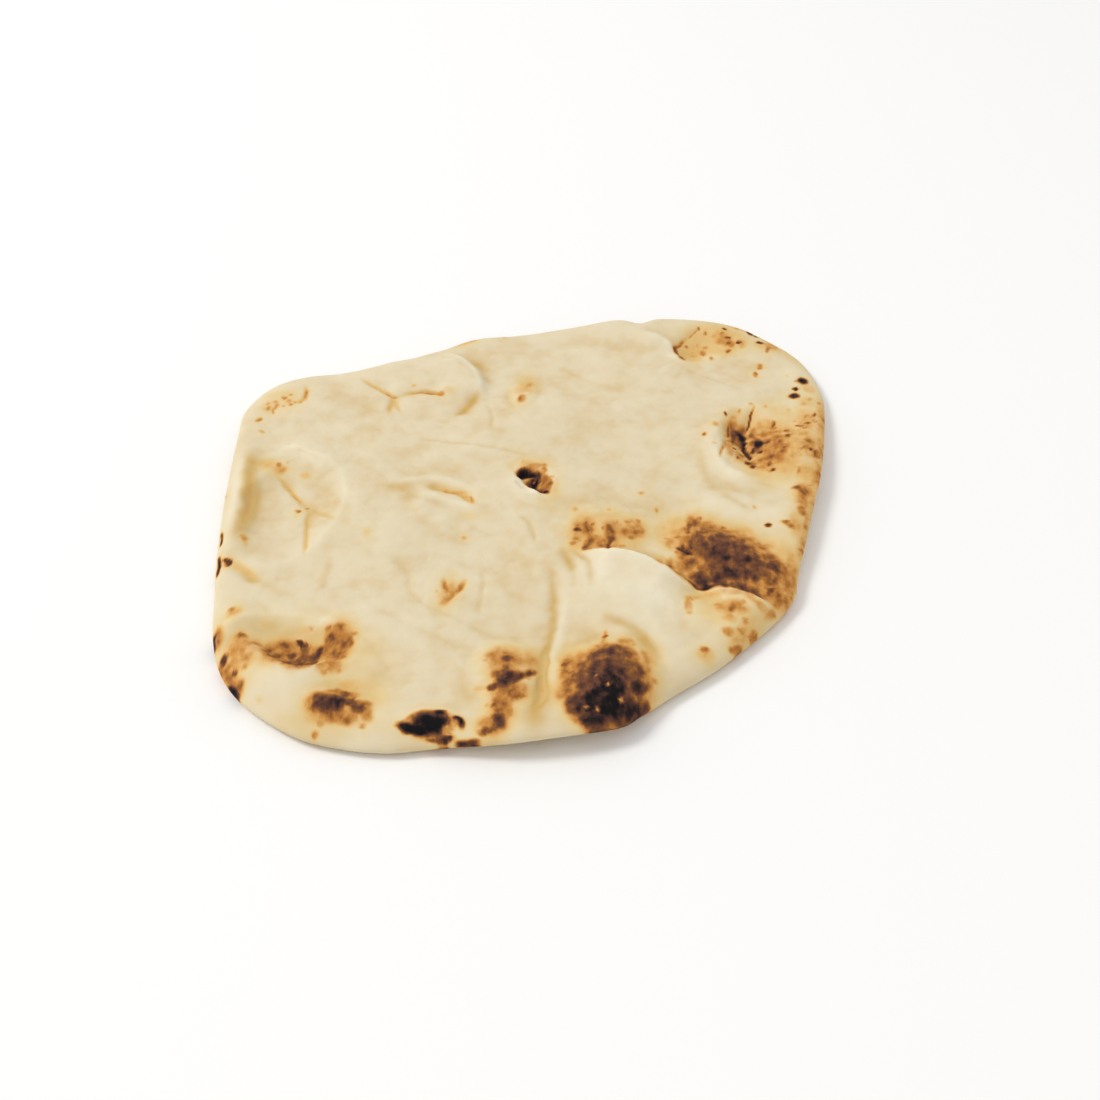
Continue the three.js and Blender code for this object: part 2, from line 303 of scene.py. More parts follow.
# %% [markdown]
# ## The rings of the skin
# The mesh is a run of rings from the middle of the top, over the rim, to the middle of the underside,
# like the growth rings of a tree. A grid cut to the outline would leave a ragged rim, and a remesh would
# blur the lips. With rings under a millimetre apart on top the lips stay crisp, and the whole stays below
# 200,000 triangles.

# %% The rings of the skin
TOP_RINGS = 150
UNDER_RINGS = 60
RIM_STEPS, UNDER_RIM_STEPS = 16, 5  # rings on the rounding of the rim, above and below its widest line
RING_GROWTH = 6  # points that each ring has more than the last


def rim_insets(steps):
    """Shares of the rounding left to go at each of its rings, closer together towards its widest line."""
    return [1 - sin(pi / 2 * k / steps) for k in range(1, steps + 1)]


# Each ring has its share of the outline, its count of points, and whether it is on the underside
full = RING_GROWTH * TOP_RINGS
rings = [((1 - EDGE_SHARE) * k / TOP_RINGS, max(1, RING_GROWTH * k), False) for k in range(TOP_RINGS + 1)]
rings += [(1 - EDGE_SHARE * inset, full, False) for inset in rim_insets(RIM_STEPS)]
rings += [(1 - UNDER_EDGE_SHARE * inset, full, True) for inset in rim_insets(UNDER_RIM_STEPS)[-2::-1]]
rings += [
    ((1 - UNDER_EDGE_SHARE) * k / UNDER_RINGS, max(1, RING_GROWTH * k), True)
    for k in range(UNDER_RINGS, -1, -1)
]


def ring_points(share, count):
    """A smaller copy of the rim: count points, evenly spaced along it."""
    way = np.arange(count) / count * rim_way[-1]
    edge = np.stack([np.interp(way, rim_way, rim_line[:, axis]) for axis in (0, 1)], axis=1)
    return middle + share * (edge - middle)


sheet = np.vstack([ring_points(share, count) for share, count, _ in rings])
x, y = sheet[:, 0], sheet[:, 1]
share = np.concatenate([np.full(count, ring_share) for ring_share, count, _ in rings])
is_under = np.concatenate([np.full(count, under) for _, count, under in rings])
print(len(rings), "rings with", len(sheet), "points")

# %% [markdown]
# ## Ragged edges
# Nothing on a baked crust has a clean oval edge. Before a scorch is drawn, the sheet is pulled about by
# smooth noise, so that all its edges wander. Blender's own noise does it here, sampled once a point.
# Creases wander less than scorches, because they follow the folds.

# %% Ragged edges
SCORCH_PULL = [(7.0, 0.9), (2.4, 0.3)]  # size of the lumps and pull, in mm
CREASE_PULL = [(5.0, 0.45)]
NOISE_FADE, NOISE_STEP = 1.0, 2.0  # each octave of the noise is half as high and twice as fine
LAYER_GAP = 9.7  # distance between the layers of the noise, so that each has another pattern


def mottle(x, y, size, layer, octaves=3):
    """Smooth lumps between about -1 and 1; size is that of the largest lumps in mm."""
    places = [Vector((u, v, LAYER_GAP * layer)) for u, v in zip(x / size, y / size)]
    return np.array([noise.fractal(place, NOISE_FADE, NOISE_STEP, octaves) for place in places])


def pulled(x, y, pulls, layer):
    """Places pulled about by noise."""
    x, y = x.copy(), y.copy()
    for size, pull in pulls:
        x += pull * mottle(x, y, size, layer, 2)
        y += pull * mottle(x, y, size, layer + 1, 2)
    return x, y


scorch_x, scorch_y = pulled(x, y, SCORCH_PULL, 1)
crease_x, crease_y = pulled(x, y, CREASE_PULL, 3)
print("scorches wander by up to %.1f mm" % np.hypot(scorch_x - x, scorch_y - y).max())

# %% [markdown]
# ## Scorches of the front
# Raised skin meets the heat first, so the blisters are the dark places. One oval is a patch with a soft
# edge: pale tan at level 0.2, golden at 0.4, brown at 0.6, dark at 0.8 and black at 1. Several laid over
# each other make a scorch. A painted picture would do it too, but it couldn't be moved with its blister.

# %% Scorches of the front
# Middle x and y, half length, half width, level, and a turn in degrees where it isn't 0
FRONT_SCORCHES = [
    # front left pocket: its golden field, partly tan crust and partly painted shade on its back wall and
    # behind it, and its dark floor, brown crust with the painted shadow of its lip along its lower edge
    (-58, -80, 27, 16, 0.09, -8), (-59, -82, 19, 10, 0.17), (-73, -82, 5.4, 7, 0.33),
    (-69, -86.5, 5, 4, 0.34), (-70, -82, 5, 6.5, 0.31), (-75, -78, 3, 4, 0.30), (-62, -82, 6, 8.5, 0.55),
    (-55, -83.5, 5.8, 8, 0.63), (-57, -75.2, 1.9, 1.1, 0.84, -25), (-58.5, -80.5, 2.2, 2.8, 0.74),
    (-62.5, -81, 1.6, 3.6, 0.60, 10), (-51.2, -79.5, 1.4, 3.4, 0.67), (-51.2, -86.8, 2, 3.2, 0.62),
    (-49.6, -77, 2, 2.4, 0.48), (-55, -88.5, 4, 2, 0.60), (-55, -72, 6, 3, 0.20),
    (-74.5, -76.3, 1.8, 1.2, 0.48), (-68, -70, 4, 2.4, 0.16),
    # cloud of brown at its right
    (-46, -77, 5.4, 9, 0.46), (-48.7, -74, 2.2, 3, 0.53), (-42.5, -77, 2, 3, 0.51),
    (-44, -82.5, 2.5, 2, 0.46), (-46, -87, 4.2, 4.4, 0.43), (-46, -70.5, 3, 1.8, 0.42),
    # rim left of it
    (-77.3, -85.5, 1.3, 2.8, 0.66, 10), (-73, -89, 3.4, 4.4, 0.35), (-81.5, -77, 1.8, 5, 0.46, 15),
    (-77.5, -88, 2, 3.4, 0.45), (-74, -92.5, 2.2, 2.6, 0.50), (-70.5, -96.5, 2, 2.4, 0.47),
    (-79, -67.5, 2.6, 3.6, 0.28), (-80.5, -65.3, 1.2, 1.2, 0.38), (-62.5, -101.3, 1.1, 0.5, 0.20),
    # small charred bump
    (-41.4, -103.4, 6.8, 4.8, 0.77), (-45.2, -104.4, 2.4, 2.6, 0.78), (-39.5, -98.6, 4.6, 2.4, 0.60),
    (-34, -103.6, 3.6, 3.2, 0.63), (-40, -107.8, 7.6, 2.4, 0.43), (-31, -106, 2.2, 3.4, 0.36),
    (-38.5, -101, 13, 11, 0.15), (-38.5, -95.5, 4.4, 3.4, 0.25), (-45, -112.4, 1.3, 1.1, 0.34),
    (-32, -110, 1.3, 0.9, 0.42),
    # burst charred bump
    (-12.8, -108.6, 5.2, 3.3, 1.15, 5), (-19.3, -110.3, 3, 1.6, 1.05, -10), (-16, -110.4, 3, 1.5, 1.1),
    (-11, -105.4, 2, 1.4, 1.0), (-8.3, -112.7, 1.8, 1, 0.90), (-10, -112.8, 4, 1.1, 0.66),
    (-17, -107, 3.6, 2, 0.48, 30),
    # browned blister, an hourglass of gold
    (4.6, -83, 6.4, 7.6, 0.38), (11.4, -81.5, 3.6, 5.4, 0.33), (6, -89, 4.8, 4.4, 0.48),
    (3.6, -86, 2.4, 2.8, 0.48), (7.5, -96.5, 5.4, 5, 0.45), (5.8, -102, 3.8, 7, 0.44),
    (4.4, -109, 4, 3.6, 0.54), (5.4, -82.6, 1.6, 2.5, 0.63, -20), (7, -92, 3.2, 4.8, 0.81, -38),
    (3.4, -95, 2.2, 1.6, 0.62, 10), (6, -86.4, 2, 1.8, 0.57), (10.5, -98, 1.6, 1.3, 0.48),
    (3.3, -102, 0.9, 1, 0.52), (5.4, -107.5, 2.4, 3.6, 0.69), (3, -111, 2.8, 1.5, 0.69, 15),
    (-0.5, -95, 3, 1.2, 0.20),
    # big charred blister: its golden ring, its brown and its black
    (34.5, -91, 13.5, 16.8, 0.42), (26, -84, 6, 8, 0.38), (23.2, -85, 3, 7.6, 0.50),
    (24, -94, 4, 6, 0.45), (39, -74, 3, 3.6, 0.36), (33, -69.5, 0.9, 1.8, 0.38),
    (33, -73.5, 1.2, 4, 0.34), (45, -80, 3.4, 6, 0.30), (35, -90.5, 11, 16, 0.62),
    (35.5, -91, 9.5, 11.5, 0.73), (35, -81, 4.4, 6, 0.68, -8), (37, -87, 4.6, 4, 0.85),
    (38, -77.5, 2.8, 2.6, 0.56), (26.8, -90.6, 3.4, 4.8, 0.69), (42.6, -92.6, 3.2, 4.6, 0.88),
    (45, -97.5, 2.4, 3.4, 0.68), (26.4, -100, 3, 4.6, 0.84), (35.5, -101, 9, 5.6, 0.97, 8),
    (35, -91, 3.6, 8, 0.87), (32.6, -104, 6, 3.8, 0.95, 8), (38.5, -94, 3.4, 6, 0.88),
    (42, -99.5, 4, 4, 0.92, 40), (30.5, -98.5, 4, 4, 0.96), (35, -96, 6, 5, 0.93),
]
print(len(FRONT_SCORCHES), "patches at the front")

# %% [markdown]
# ## Scorches of the right
# Two rolls lie along the right side, the tan one and the dark one. Their scorch ends sharply at the lips
# in front of them, which lay over it in the oven and stayed pale, so that group of ovals is cut off along
# one line. Small specks are single bubbles that burst in the heat: the same ovals, only smaller.

# %% Scorches of the right
ROLL_SCORCHES = [
    # tan swelling
    (31, -20, 13.5, 11.5, 0.19), (24, -20.5, 6, 10, 0.30), (33, -19.5, 5, 9.5, 0.31),
    (39.5, -17.5, 4.4, 6, 0.36), (33, -28, 4.6, 5, 0.31), (25.6, -26.5, 3, 5, 0.42),
    (24.4, -19.5, 3.8, 6.5, 0.39), (25.2, -21, 1.8, 6, 0.46), (31.7, -21, 1.9, 6, 0.50),
    (21.3, -19.7, 1.5, 1, 0.74, -30), (26, -25.5, 2.5, 4.6, 0.43), (24.3, -29, 1.4, 2, 0.55),
    (29, -26, 3, 4.4, 0.42), (25, -30, 2.2, 1.2, 0.52), (32.5, -21.5, 1.8, 3.6, 0.60),
    (29.7, -24.8, 0.8, 1, 0.55), (38.5, -19.6, 4.6, 3.2, 0.48), (41.6, -18.5, 1.5, 4, 0.38),
    (42, -21, 1, 1, 0.36), (20, -8.5, 1, 1.4, 0.34), (30.9, -7.8, 1, 1.2, 0.25),
    (46.6, -5.8, 0.8, 1.9, 0.36), (40.3, -26, 1, 3, 0.22),
    # between the two rolls
    (50, -18.5, 4, 7.5, 0.22), (51.5, -24, 3.4, 4.4, 0.33), (55.5, -28.5, 3, 4.4, 0.53),
    (53.5, -15, 4.6, 6.5, 0.24), (54.5, -20, 4.4, 8, 0.31), (48.3, -35.5, 2, 4.2, 0.38),
    (51.6, -37, 2, 5, 0.45), (56, -36, 4, 6, 0.42), (55, -41, 5, 3, 0.44, -25),
    # charred roll
    (69, -28.4, 20.5, 12.4, 0.44, -42), (69.2, -29.2, 17.6, 10, 0.58, -43),
    (71, -32.6, 13.4, 9.4, 0.68, -45), (59, -13, 3.4, 4.6, 0.50), (63, -17, 4, 6, 0.55),
    (57.2, -15, 0.8, 4, 0.60), (66, -24, 5, 6, 0.70), (61.5, -23, 2.4, 2.4, 0.66),
    (58, -32.5, 3, 4.4, 0.57), (61.5, -36.5, 2.8, 3, 0.60), (58, -39.6, 2.6, 2.4, 0.54),
    (73, -26, 3, 4, 0.62), (69.5, -22.5, 3, 3.4, 0.67), (77.5, -28.5, 3, 3, 0.62),
    (69, -33, 4.4, 3.6, 0.77), (68, -36, 5, 2.4, 0.74), (82, -41, 2.8, 4.4, 0.65),
    (81.5, -31, 2.6, 3, 0.57), (70, -44, 2.6, 2.4, 0.70), (75, -33.5, 5, 4.4, 0.75),
    (76, -39.5, 4, 4, 0.74), (83, -35.5, 2.4, 4, 0.68), (70, -38.5, 4, 3.6, 0.68),
    (61.2, -40.4, 3.2, 4.4, 0.86), (66, -39, 3.4, 4, 0.72), (63, -44.5, 3, 2.6, 0.77),
    (67.5, -44, 4.4, 3.4, 0.74), (73, -45.3, 3.4, 4, 0.70), (76.5, -47.2, 4, 4, 0.65),
    (80.5, -47.5, 3.4, 3.4, 0.52), (82.5, -45.5, 1.1, 1.1, 0.68), (85.5, -39.5, 4.4, 9, 0.50),
    (85, -48, 3.6, 5, 0.44), (89, -35, 2.6, 10, 0.39), (80, -24.5, 5, 4, 0.34),
    (74, -18, 5, 3.6, 0.30, -30), (86.5, -28, 4, 7, 0.22),
]
ROLL_LIPS = [
    (10, -31), (20, -31), (31, -32.2), (41, -34), (52, -40.6), (61, -46.6), (66, -46.6), (72, -47.6),
    (80, -52), (90, -62),
]
RIGHT_SCORCHES = [
    # lobe at the right front
    (68, -57, 13, 7.5, 0.14, -20), (74, -64, 9, 3, 0.27, 52), (64, -49.5, 6, 2, 0.25),
    (66, -48.8, 4, 1.7, 0.28, 10), (71, -49.4, 4, 1.8, 0.28, -10), (75.5, -51.6, 3.4, 2, 0.30, -35),
    (79, -54, 3, 2, 0.30, -40), (57, -54, 1.4, 4, 0.32), (58.5, -50.5, 3, 1.4, 0.30),
    (69.5, -55.4, 4.6, 3.2, 0.42), (69.8, -56, 1.8, 1.6, 0.50), (72.5, -57, 3.4, 2.4, 0.32),
    (69.5, -60, 3, 2.4, 0.28), (69, -65.5, 2, 1.6, 0.40), (74, -63, 3, 1.4, 0.30, 30),
    (76.5, -64, 1.5, 2.6, 0.47, -20), (72, -69.5, 2.8, 1.4, 0.48, 45), (62.4, -73.3, 1.7, 1.5, 0.50),
    (62.5, -75, 2.8, 3, 0.26), (82, -55, 3.4, 1.4, 0.32, 50),
    # pale bulge and the rim beside it
    (94.5, 1, 3.4, 8, 0.36), (93.7, -6, 2, 3.4, 0.43), (91.5, -14, 3.2, 7, 0.28),
    (82.2, -14.7, 1.2, 0.9, 0.90), (87.7, -14, 1.6, 1.1, 0.42), (90, -15.6, 2.4, 2, 0.34),
    (78.6, -5, 0.7, 1.1, 0.28), (63.8, -8, 0.6, 0.6, 0.20), (41.5, 2.3, 1.1, 0.7, 0.46, 30),
    (92.7, 7, 2, 1.7, 0.46), (95.6, 5.4, 3.6, 4.4, 0.50),
    # dimple: the tan round it, its golden floor and its black spots
    (86, 35, 17, 26, 0.17), (86, 32, 12, 18, 0.28), (85, 31, 8, 13.5, 0.40), (73, 44, 3.6, 7, 0.46),
    (73.3, 42.5, 3, 6.4, 0.64), (73.5, 53, 3.4, 4.4, 0.20), (74.5, 27, 3, 6, 0.33),
    (71, 30.5, 2.4, 7, 0.34), (78, 23, 2.2, 5, 0.42), (83, 20, 7, 4, 0.33), (83, 25, 4.4, 5, 0.48),
    (85, 43, 5, 4, 0.42), (79.6, 38, 2.4, 4, 0.52), (76, 47, 1.8, 3.2, 0.54), (79.5, 43, 3, 6, 0.42),
    (84, 48, 5, 4.4, 0.31), (90.4, 37, 2.2, 3, 0.45), (97, 44, 1.6, 2.4, 0.42),
    (75.4, 42.5, 1.5, 4, 0.95, 5), (75.8, 38.5, 1.3, 2.2, 0.90), (81.1, 37.2, 1.6, 3.9, 1.0),
    (81.8, 30.5, 0.9, 1.2, 0.76), (79.2, 31, 0.7, 1.5, 0.70), (72.8, 32, 0.8, 1, 0.66),
    (73.9, 25, 0.7, 1.6, 0.58), (77.3, 22.5, 1, 2.3, 0.70), (78.4, 19.4, 0.9, 1.8, 0.74),
    (84, 21.8, 1, 2.3, 0.58), (85.3, 17.3, 1, 1, 0.75), (90.8, 37.3, 1.3, 1.3, 0.66),
    (91.3, 41.5, 1, 2.2, 0.48), (82.5, 24, 0.8, 1.5, 0.52), (86.5, 48, 0.9, 2.8, 0.48),
    (82, 43.3, 0.9, 0.7, 0.56), (70, 52.5, 0.7, 1.1, 0.74),
    # specks round the dimple, and the tan of the rim
    (98.5, 49, 4.4, 10, 0.29), (98, 31, 4.4, 9, 0.34), (97, 15.5, 5, 6, 0.28), (100.4, 14, 2, 6, 0.36),
    (66, 44.5, 1.5, 2, 0.27), (63, 37.5, 0.8, 1.5, 0.42), (65.5, 30.7, 0.9, 1, 0.26),
    (75.2, 55.8, 0.8, 1.6, 0.36), (84.5, 59.3, 1, 1.2, 0.33), (79, 60, 1, 1, 0.30),
    (92.7, 57, 0.7, 1.3, 0.26), (95.7, 45.3, 1.6, 0.9, 0.64, -35), (99, 47.8, 1.3, 1, 0.60),
    (101.3, 53.5, 0.7, 1.3, 0.62), (98.7, 52.5, 1, 1, 0.38), (94.3, 50, 0.8, 1.3, 0.38),
    (98.5, 33, 1.6, 1.8, 0.48), (98.8, 28, 1, 1, 0.69), (101, 27, 1.6, 3.4, 0.50, -20),
    (93.7, 16.5, 1, 2, 0.42), (96, 40, 3, 5, 0.29), (90, 17.5, 6, 4, 0.24), (99.5, 62, 4, 5, 0.21),
]
print(len(ROLL_SCORCHES) + len(RIGHT_SCORCHES), "patches at the right")

# %% [markdown]
# ## Scorches of the back, the left and the middle
# The rest of the top is pale dough with few marks: specks along the back right, a mottled patch on the
# left rim, a torn black crater in the middle, and tan shadows in the hollows, where the skin dried before
# it browned.

# %% Scorches of the back, the left and the middle
BACK_SCORCHES = [
    # sunk patch at the back right, and the specks beside it
    (67, 104, 14, 9.5, 0.20, -10), (58, 97, 5.4, 9.5, 0.24, -12), (54, 89.5, 1.6, 1.8, 0.52),
    (52, 94, 0.8, 2.8, 0.50), (62.3, 97, 1.3, 2.8, 0.43, 15), (65.3, 92.3, 0.7, 1.6, 0.38),
    (59.5, 101.5, 0.9, 0.9, 0.40), (62.5, 100, 0.8, 0.8, 0.38), (55.3, 100.7, 0.8, 0.8, 0.42),
    (58.4, 97.7, 0.8, 0.8, 0.36), (60, 110.5, 0.9, 0.9, 0.68), (62.5, 108.3, 1.2, 0.9, 0.52),
    (69.5, 104.5, 4.4, 6, 0.34, 10), (68, 106, 2.6, 3.4, 0.36, 20), (71.5, 101, 3, 4, 0.38),
    (76, 101, 3.4, 4, 0.28), (71.2, 104.6, 1.1, 1, 0.64), (75, 100.8, 0.9, 0.8, 0.87),
    (71.2, 100.4, 0.9, 0.7, 0.66), (71.3, 96.3, 0.9, 1, 0.66), (70, 111, 0.9, 0.9, 0.80),
    (69, 107.5, 1.1, 1, 0.46), (83.8, 102.4, 1.7, 1.3, 0.78, 25), (86, 99, 6, 4, 0.22, -20),
    (80, 110.8, 1.4, 2.2, 0.78, 20), (82, 109.2, 0.9, 1.3, 0.66), (88, 101.5, 3.6, 4.4, 0.36),
    (86.5, 97, 0.9, 2, 0.48, -10), (83.3, 86.5, 1.2, 1.8, 0.36), (81.4, 80.5, 1.0, 2.3, 0.50),
    (92.8, 80, 0.8, 0.9, 0.22), (98.8, 77, 1.7, 2.4, 0.94, 15), (95.8, 70.7, 1.5, 1.1, 0.88),
    (95, 66, 1.8, 2, 0.95), (101, 72, 2.6, 4, 0.26),
    # back edge and the small bump behind the middle
    (-31, 97.5, 4, 3, 0.30, 20), (-28.5, 99, 3, 1.6, 0.32, 20), (-16, 104, 0.7, 2.8, 0.27),
    (-4, 63, 3.4, 8.5, 0.26), (-4.4, 55.8, 1.8, 3, 0.40), (-3, 66.5, 2.2, 4, 0.29),
    # pillow
    (-33.8, 57.3, 1.5, 0.9, 0.38), (-31.5, 58.5, 2, 2, 0.15), (-44.3, 61.7, 0.8, 0.6, 0.30),
    # left rim
    (-92, 51, 8, 7, 0.15, -30), (-95, 47.5, 4.4, 4.4, 0.21), (-92, 52, 1.3, 1.3, 0.36),
    (-90.5, 50.5, 1, 0.8, 0.36), (-94.2, 49.3, 0.9, 1.1, 0.34), (-91, 47.2, 0.9, 1, 0.35),
    (-87.3, 50, 0.9, 0.8, 0.36), (-90, 54, 1, 1.2, 0.30), (-97, 48.6, 0.8, 1, 0.32),
    (-93.2, 46.6, 1, 1.8, 0.41), (-96, 46, 1, 1.4, 0.38), (-88.7, 48.5, 1, 0.7, 0.47),
    (-85.2, 49.8, 0.8, 0.8, 0.46), (-98, 38.4, 1.3, 2, 0.33), (-95, 30.5, 1.3, 1.1, 0.32),
    (-99.5, -5.8, 0.7, 0.9, 0.70), (-88.3, -41, 1.8, 1.1, 0.84, -35),
    # collapsed blister
    (-87, 10.3, 4.4, 2.6, 0.25, -8), (-83, 8.8, 3.6, 2.4, 0.27), (-81.5, 9, 1.1, 1.1, 0.31),
    (-73.5, 6.7, 2, 1.4, 0.21), (-80.7, 12, 0.7, 0.9, 0.28), (-69.3, -9.3, 1, 0.9, 0.44),
    (-72.8, -11.5, 1, 1, 0.38), (-72.7, -14, 1, 2, 0.13), (-85.3, -31, 1, 2.8, 0.25, 25),
    (-46, -25.5, 1.6, 3.4, 0.14),
    # crater, slit and specks of the middle
    (1.5, 12, 2.6, 1.8, 1.0, 25), (5, 11.8, 2, 1.1, 0.96, -10), (-0.3, 10, 1, 1, 0.96),
    (4.6, 8.6, 2.6, 2.6, 0.95), (6, 10.4, 1.6, 2.2, 0.93), (8.4, 0.9, 2, 1.2, 0.98, -25),
    (8.8, 5.8, 2.1, 5, 0.57, 16), (4, 14.5, 4.8, 3, 0.35), (0, 16, 0.8, 4, 0.24), (7.8, 12, 1.3, 3, 0.42),
    (11, 8, 1, 1.5, 0.27), (12, 4, 2.4, 6.5, 0.18), (9, -4, 2, 1, 0.12), (-22, -0.5, 5, 1.6, 0.33, -8),
    (-17.5, -3, 2.6, 1.2, 0.26, -35), (-15, -4.7, 0.9, 2, 0.32, 10), (-14.5, -24.3, 0.9, 1, 0.34),
    (-15, -13, 4, 2, 0.09), (-16.2, -52.5, 3, 6, 0.33), (-16.5, -57, 1.6, 3, 0.33),
    (-19.8, -52.8, 0.7, 0.7, 0.28), (-14.6, -53.6, 0.9, 0.9, 0.50),
]
print(len(BACK_SCORCHES), "patches at the back, the left and in the middle")

# %% [markdown]
# ## Fine wrinkles, torn edges and burnt cracks
# Thinner lines run over the folds. A crack that charred, or a crease that dried to a tan line, is a dent
# and a stroke of browning at once, since the crack and its colour are one event. That is why the two
# share a row. The tan band on the left wall of the collapsed blister is partly painted shade. Pale
# creases and torn lips are relief alone, and the tan along the rim is colour alone.

# %% Fine wrinkles, torn edges and burnt cracks
# Rise in mm, half width of the dent in mm, level of the browning, its half width in mm, and the line
WRINKLES = [
    # rim at the front left
    (-0.3, 1.4, 0.43, 3.0, [(-78, -83), (-76.5, -89), (-73, -94), (-70, -98.5), (-67.5, -101)]),
    (-0.5, 1.0, 0.97, 1.3, [(-75.5, -93), (-72.5, -96.5), (-70.5, -99), (-68.5, -100.5)]),
    (-0.5, 0.9, 0.92, 0.9, [(-84, -74), (-82.5, -78), (-81.3, -83)]),
    # burst charred bumps
    (0.7, 0.9, 0.95, 1.0, [(-8.5, -108), (-6, -106.7), (-4.5, -108), (-4, -111.5)]),
    (-0.3, 0.8, 0.75, 0.8, [(-7, -113.4), (-2, -113.7), (3, -113.6)]),
    # browned blister
    (-0.4, 1.0, 0.72, 1.5, [(5, -94), (9, -90.5), (12, -87.5), (15.5, -83.5)]),
    # tan swelling and charred roll
    (-0.3, 0.9, 0.54, 1.0, [(23.8, -14), (24.6, -18), (25.5, -23)]),
    (-0.4, 0.8, 0.62, 0.9, [(32.6, -15.5), (32, -23), (31.8, -29), (32, -34)]),
    (-0.4, 0.8, 0.70, 0.9, [(31.8, -24), (31.8, -29), (31.9, -34)]),
    (-0.5, 0.9, 0.77, 0.9, [(51.5, -24.5), (56, -28), (61, -31.5)]),
    (-0.4, 0.8, 0.72, 0.8, [(55.2, -23), (55.6, -27), (58.5, -31)]),
    (-0.3, 0.8, 0.62, 0.8, [(57.3, -24), (58.7, -29.5)]),
    (-0.3, 0.8, 0.56, 0.8, [(58, -10), (57.2, -16), (56.5, -22)]),
    (-0.4, 0.9, 0.80, 1.1, [(52, -39.4), (57, -42.4), (61, -45.4), (65.5, -45), (70, -45.4)]),
    (-0.3, 0.9, 0.68, 1.0, [(66, -45.4), (72, -46.6), (77.5, -49.8), (82.5, -53)]),
    # dimple
    (0.8, 2.4, 0.12, 2.0, [(70.5, 60), (69.6, 46), (69, 34), (67, 16)]),
    (-0.35, 0.8, 0.68, 0.5, [(81.3, 61.5), (79.3, 55.5), (78.8, 51), (77.2, 47), (75.5, 43)]),
    (-0.7, 0.9, 0.90, 0.9, [(75, 41), (75.8, 36), (77, 31), (77.7, 27), (77.3, 22)]),
    (-0.5, 0.8, 0.66, 0.8, [(70.8, 49), (70.7, 43), (70.3, 37)]),
    (-0.4, 0.8, 0.36, 0.8, [(70.5, 41), (69.4, 33), (68, 26), (67.2, 20)]),
    (-0.3, 0.8, 0.60, 0.9, [(74.5, 43), (72.8, 38.5), (71.3, 35)]),
    (-0.4, 0.8, 0.72, 0.8, [(80.5, 36), (79.5, 33), (79, 28)]),
    (-0.2, 0.8, 0.52, 0.8, [(81, 43.5), (85.5, 44), (88.2, 42.3), (91, 37.5)]),
    # sunk patch at the back right
    (-0.4, 1.0, 0.58, 1.1, [(58, 108), (53.5, 101.5), (51.3, 97), (52, 92.5), (54, 88)]),
    (-0.3, 0.8, 0.40, 0.7, [(61.5, 112.5), (58.8, 108.5), (55, 103)]),
    # pillow
    (-0.5, 0.8, 0.24, 0.8, [(-67, 67), (-60, 61.5), (-54, 57.2), (-51, 56)]),
    (-0.4, 0.8, 0.44, 0.8, [(-56, 58.8), (-53.6, 56.8), (-51.5, 55.7), (-48.5, 55.9)]),
    (-0.5, 0.8, 0.30, 0.8, [(-50, 55.8), (-45, 57.7), (-40.5, 58.5), (-36, 57.5), (-30, 54)]),
    (-0.4, 0.8, 0.40, 0.8, [(-42.5, 58.4), (-38, 58), (-32.5, 56.8)]),
    (-0.4, 0.8, 0.26, 0.8, [(-52, 57), (-51.5, 51), (-51.5, 44)]),
    (-0.3, 0.8, 0.15, 0.8, [(-51.3, 55), (-49.2, 49.5), (-46, 45)]),
    # left rim and collapsed blister
    (-0.3, 1.0, 0.34, 1.1, [(-86, 62), (-84.3, 56), (-84.5, 51), (-89, 48)]),
    (-0.3, 0.8, 0.40, 0.7, [(-95, 46.5), (-94, 44.5), (-93, 41.5)]),
    (-0.4, 0.8, 0.27, 0.9, [(-86, 8), (-79, 1.5), (-74.5, -4), (-69, -10)]),
    (-0.4, 0.8, 0.23, 0.8, [(-69.3, -8), (-68, -16), (-66.5, -25), (-65, -33), (-63.8, -40)]),
    (-0.3, 0.8, 0.13, 0.8, [(-69, -9), (-64, -13.5), (-56, -20)]),
    # tan band on the collapsed blister's left wall: partly browning, partly painted shade where it faces
    # away from the lamp
    (-0.4, 1.4, 0.23, 2.2, [(-94.5, 20), (-92.5, 6), (-90, -5), (-88.5, -14), (-87.8, -23), (-87, -34)]),
    (-0.8, 0.9, 1.00, 0.65, [(-92, -37.5), (-90.9, -42), (-89.7, -49.5)]),
    (-0.6, 0.8, 0.88, 0.5, [(-94.4, -25), (-93.3, -29.5), (-92.2, -35)]),
    (-0.3, 1.2, 0.22, 1.8, [(-89, -41), (-84, -43.5), (-79.5, -47), (-76, -52)]),
    # black slot of the torn crater
    (-1.4, 1.2, 1.00, 1.3, [(-2, 9.3), (1.5, 11.8), (6.8, 11.6)]),
    (-1.6, 1.2, 1.00, 1.3, [(2.5, 9), (4.8, 6.3), (6.8, 3.6), (9.5, -1)]),
    # slit, and the forked mark in front of it
    (-0.5, 0.8, 0.27, 0.9, [(-34, 3.5), (-27, 0.6), (-21, -1), (-16, -5), (-13.5, -8)]),
    (-0.4, 0.8, 0.40, 1.3, [(-18.3, -43), (-17.6, -49.5), (-15.3, -53), (-13.5, -55.5)]),
    (-0.4, 0.8, 0.42, 1.3, [(-11.2, -43.5), (-12.4, -50), (-14.6, -54.2), (-17, -61)]),
    # valley between the two front blisters
    (-0.5, 1.2, 0.26, 1.1, [(16.4, -71), (15.7, -84.5), (16.6, -94), (15.8, -104)]),
]
